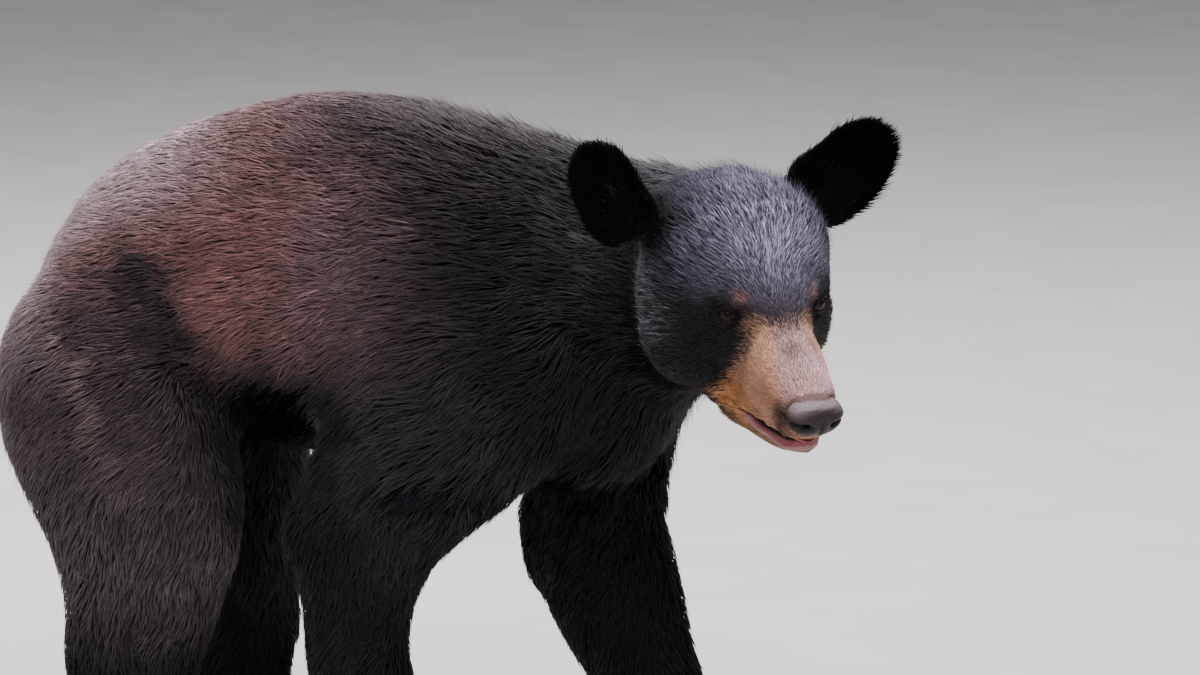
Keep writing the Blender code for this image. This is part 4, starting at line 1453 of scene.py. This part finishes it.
def coat(name, roots, shape, base, seed):
    """Make one coat piece from the shape of its locks and one colour for each of them."""
    points, faces, along, around = shape
    points[:, 2] = np.maximum(points[:, 2], 0.2 * MM)
    mesh = placed(f"coat_{name}", finish_of(guard_hair, *FINISHES.get(name, OILED)),
                  points, faces, shaded(base, along, seed, *CONTRAST.get(name, ())))
    bake_patches(mesh, unrolled_place(name, roots), along, around)


def body_coat(name, sizes, seed):
    """Locks on one region: longer and higher where the coat is deep, in wavy clumps.

    A share of them are strays: half as wide, higher, and rising evenly all the way. The hair lies
    flatter along the back edge of the cheek.
    """
    long, wide, high, bend, count = BODY_COATS[name]
    roots, normals = planted(name, sizes, count, seed)
    count = len(roots)
    ways = combed(roots, normals, seed)
    rng = np.random.default_rng(seed + 7)
    clump = murmur(roots, 0.016, seed + 3)
    depth = coat_depth(roots) * high
    length = np.maximum(long * MM, 2.5 * depth) * rng.uniform(0.7, 1.25, count)
    length *= 1 + 0.18 * clump
    rise = depth * rng.uniform(0.62, 1.08, count) * (1 + 0.22 * clump)
    width = sizes.lock_width * wide * rng.uniform(0.65, 1.35, count)
    base = markings(roots, rng.random(count))
    base *= np.exp(0.24 * clump + 0.16 * murmur(roots, 0.007, seed + 4))[:, None]
    head = to_head(roots)
    jowl = bell(head[:, 0], -0.104, 0.028) * ease(head[:, 2], 0.05, 0.02)
    rise *= 1 - 0.8 * jowl * ease(head[:, 2], -0.20, -0.15)
    share, taller = STRAYS.get(name, FEW_STRAYS)
    if name == "forehead":      # hardly any on the cheeks
        share = 0.06 + (share - 0.06) * ease(head[:, 2], 0.005, 0.045)
    stray = rng.random(count) < share
    rise = np.where(stray, rise * taller, rise)
    width = np.where(stray, width * 0.5, width)
    bend = np.where(stray, 0.45, bend)[:, None]
    shape = tufts(roots, normals, ways, length, rise, width, bend, seed + 5)
    coat(name, roots, shape, base, seed + 6)


def fine_coat(name, sizes, seed):
    """Short close hairs on the face or the feet."""
    long, wide, high, count = FINE_COATS[name]
    roots, normals = planted(name, sizes, count, seed)
    count = len(roots)
    ways = combed(roots, normals, seed, 0.7)
    rng = np.random.default_rng(seed + 7)
    depth = coat_depth(roots)
    length = long * MM * rng.uniform(0.7, 1.3, count) * (0.55 + depth / (4.5 * MM))
    rise = (0.3 * MM + depth * high) * rng.uniform(0.6, 1.1, count)
    width = sizes.face_hair_width * wide * rng.uniform(0.7, 1.3, count)
    base = markings(roots, rng.random(count))
    base *= np.exp(0.15 * murmur(roots, 0.006, seed + 4))[:, None]
    shape = spikes(roots, normals, ways, length, rise, width, seed + 5)
    coat(name, roots, shape, base, seed + 6)


def ear_coat(sizes, seed):
    """Hair on the ears: it grows from the root outwards, longer inside the front edge."""
    roots, normals = planted("ears", sizes, EAR_HAIRS, seed)
    count = len(roots)
    head = to_head(roots)
    ways, hollow, reach = np.zeros_like(roots), np.zeros(count), np.zeros(count)
    for side in (RIGHT, LEFT):
        centre, up, look, _, tall = ear_frame(side)
        here = np.sign(head[:, 1]) == side
        arm = head[here] - centre
        out = arm - np.outer(arm @ look, look)
        ways[here] = (0.6 * unit(out) + 0.8 * up) @ HEAD_AXES.T
        hollow[here] = ease((normals[here] @ HEAD_AXES) @ look, 0.0, 0.3)
        reach[here] = np.linalg.norm(out, axis=1) / tall
    ways = turned(laid(ways, normals), normals, 0.35 * murmur(roots, 0.012, seed + 1))
    rim = ease(reach, 0.7, 0.95)
    rng = np.random.default_rng(seed + 7)
    length = (9.0 + 3.0 * hollow * (1 - rim)) * MM * rng.uniform(0.7, 1.3, count)
    rise = (2.2 + 0.8 * rim) * MM * rng.uniform(0.5, 1.1, count)
    width = 1.0 * MM * rng.uniform(0.7, 1.3, count)
    base = TINTS["ear"] * (1 + 1.1 * rim)[:, None]
    shape = spikes(roots, normals, ways, length, rise, width, seed + 5, hug=False)
    coat("ears", roots, shape, base, seed)


class BEAR_OT_body_coat(bpy.types.Operator):
    """Lay the long locks on neck, flanks, rump, underside and legs"""
    bl_idname = "bear.body_coat"
    bl_label = "Body and Leg Coat"

    def execute(self, context):
        take_colours(context)
        for k, name in enumerate(BODY_COATS):
            if name != "forehead":
                body_coat(name, context.scene.bear_sizes, 100 + 20 * k)
        return {'FINISHED'}


class BEAR_OT_head_coat(bpy.types.Operator):
    """Lay the hair on forehead, cheeks, face and ears"""
    bl_idname = "bear.head_coat"
    bl_label = "Head and Ear Coat"

    def execute(self, context):
        take_colours(context)
        sizes = context.scene.bear_sizes
        body_coat("forehead", sizes, 400)
        fine_coat("face", sizes, 420)
        ear_coat(sizes, 440)
        return {'FINISHED'}


class BEAR_OT_paw_coat(bpy.types.Operator):
    """Lay the short hair on the feet"""
    bl_idname = "bear.paw_coat"
    bl_label = "Paw Coat"

    def execute(self, context):
        take_colours(context)
        fine_coat("paws", context.scene.bear_sizes, 500)
        return {'FINISHED'}


# ---------------------------------------------------------------- stage

# Name, place, size of its side, power and colour of each soft light
LIGHTS = (
    ("sky_panel", (-0.3, 0.7, 3.6), 3.0, 270, (0.94, 0.95, 1.0)),
    ("front_panel", (1.5, -2.6, 3.5), 1.8, 120, (1.0, 0.96, 0.93)),
    ("rim_panel", (-2.3, 1.5, 2.6), 1.6, 65, (0.98, 0.95, 1.0)),
    ("side_panel", (-2.8, -1.9, 1.8), 2.0, 20, (1.0, 0.98, 0.96)),
)
LIGHTS_AIM = (0.14, 0.03, 0.40)
VIEW_AT = EYES_AT - np.array((0.211, -0.151, 0.061))
SURROUNDINGS, SURROUNDINGS_STRENGTH = (0.80, 0.83, 0.88, 1), 0.27


def aimed(obj, place, away):
    """Put a light or camera at a place and turn its back to the way 'away'."""
    obj.location = place
    obj.rotation_euler = (-away).to_track_quat('-Z', 'Y').to_euler()


class BEAR_OT_stage(bpy.types.Operator):
    """Set the floor, the soft lights, the pale surroundings and the camera"""
    bl_idname = "bear.stage"
    bl_label = "Stage"

    def execute(self, context):
        scene, stage = context.scene, context.scene.bear_stage
        half = stage.floor_size / 2
        corners = np.array([(-half, -half, 0), (half, -half, 0), (half, half, 0), (-half, half, 0)])
        mesh = made_mesh("floor", corners, np.array([[0, 1, 2, 3]]))
        mesh.materials.append(finish_of(studio_floor))
        added("floor", mesh)
        for name, place, size, power, colour in LIGHTS:
            data = bpy.data.lights.new(name, 'AREA')
            data.shape, data.size = 'SQUARE', size
            data.energy, data.color = power, colour
            aimed(added(name, data), place, Vector(place) - Vector(LIGHTS_AIM))
        world = bpy.data.worlds.new("Pale Room")
        world.use_nodes = True
        background = world.node_tree.nodes["Background"]
        background.inputs["Color"].default_value = SURROUNDINGS
        background.inputs["Strength"].default_value = SURROUNDINGS_STRENGTH
        scene.world = world
        data = bpy.data.cameras.new("camera")
        data.lens, data.clip_end = stage.lens, 50
        turn, rise = stage.view_turn, stage.view_rise
        away = Vector((math.sin(turn) * math.cos(rise), -math.cos(turn) * math.cos(rise),
                       math.sin(rise)))
        scene.camera = added("camera", data)
        aimed(scene.camera, Vector(VIEW_AT) + away * stage.view_distance, away)
        return {'FINISHED'}


# ---------------------------------------------------------------- add-on

class BEAR_PT_panel(bpy.types.Panel):
    """Buttons for each group of pieces, and the sizes they use"""
    bl_idname = "BEAR_PT_panel"
    bl_label = "Young Black Bear"
    bl_space_type = 'VIEW_3D'
    bl_region_type = 'UI'
    bl_category = "Bear"

    def draw(self, context):
        scene = context.scene
        for group in (scene.bear_sizes, scene.bear_colours, scene.bear_stage):
            for name in group.bl_rna.properties.keys():
                if name not in ("rna_type", "name"):
                    self.layout.prop(group, name)
        for operator in OPERATORS:
            self.layout.operator(operator.bl_idname)


OPERATORS = (BEAR_OT_stage, BEAR_OT_skin, BEAR_OT_eyes, BEAR_OT_nose_and_mouth, BEAR_OT_claws,
             BEAR_OT_body_coat, BEAR_OT_head_coat, BEAR_OT_paw_coat)
CLASSES = (BearSizes, BearColours, BearStage, *OPERATORS, BEAR_PT_panel)


def register():
    for cls in CLASSES:
        bpy.utils.register_class(cls)
    bpy.types.Scene.bear_sizes = PointerProperty(type=BearSizes)
    bpy.types.Scene.bear_colours = PointerProperty(type=BearColours)
    bpy.types.Scene.bear_stage = PointerProperty(type=BearStage)


def unregister():
    del bpy.types.Scene.bear_stage
    del bpy.types.Scene.bear_colours
    del bpy.types.Scene.bear_sizes
    for cls in reversed(CLASSES):
        bpy.utils.unregister_class(cls)


def main():
    register()
    bpy.ops.bear.stage()
    bpy.ops.bear.skin()
    bpy.ops.bear.eyes()
    bpy.ops.bear.nose_and_mouth()
    bpy.ops.bear.claws()
    bpy.ops.bear.body_coat()
    bpy.ops.bear.head_coat()
    bpy.ops.bear.paw_coat()


if __name__ == "__main__":
    main()
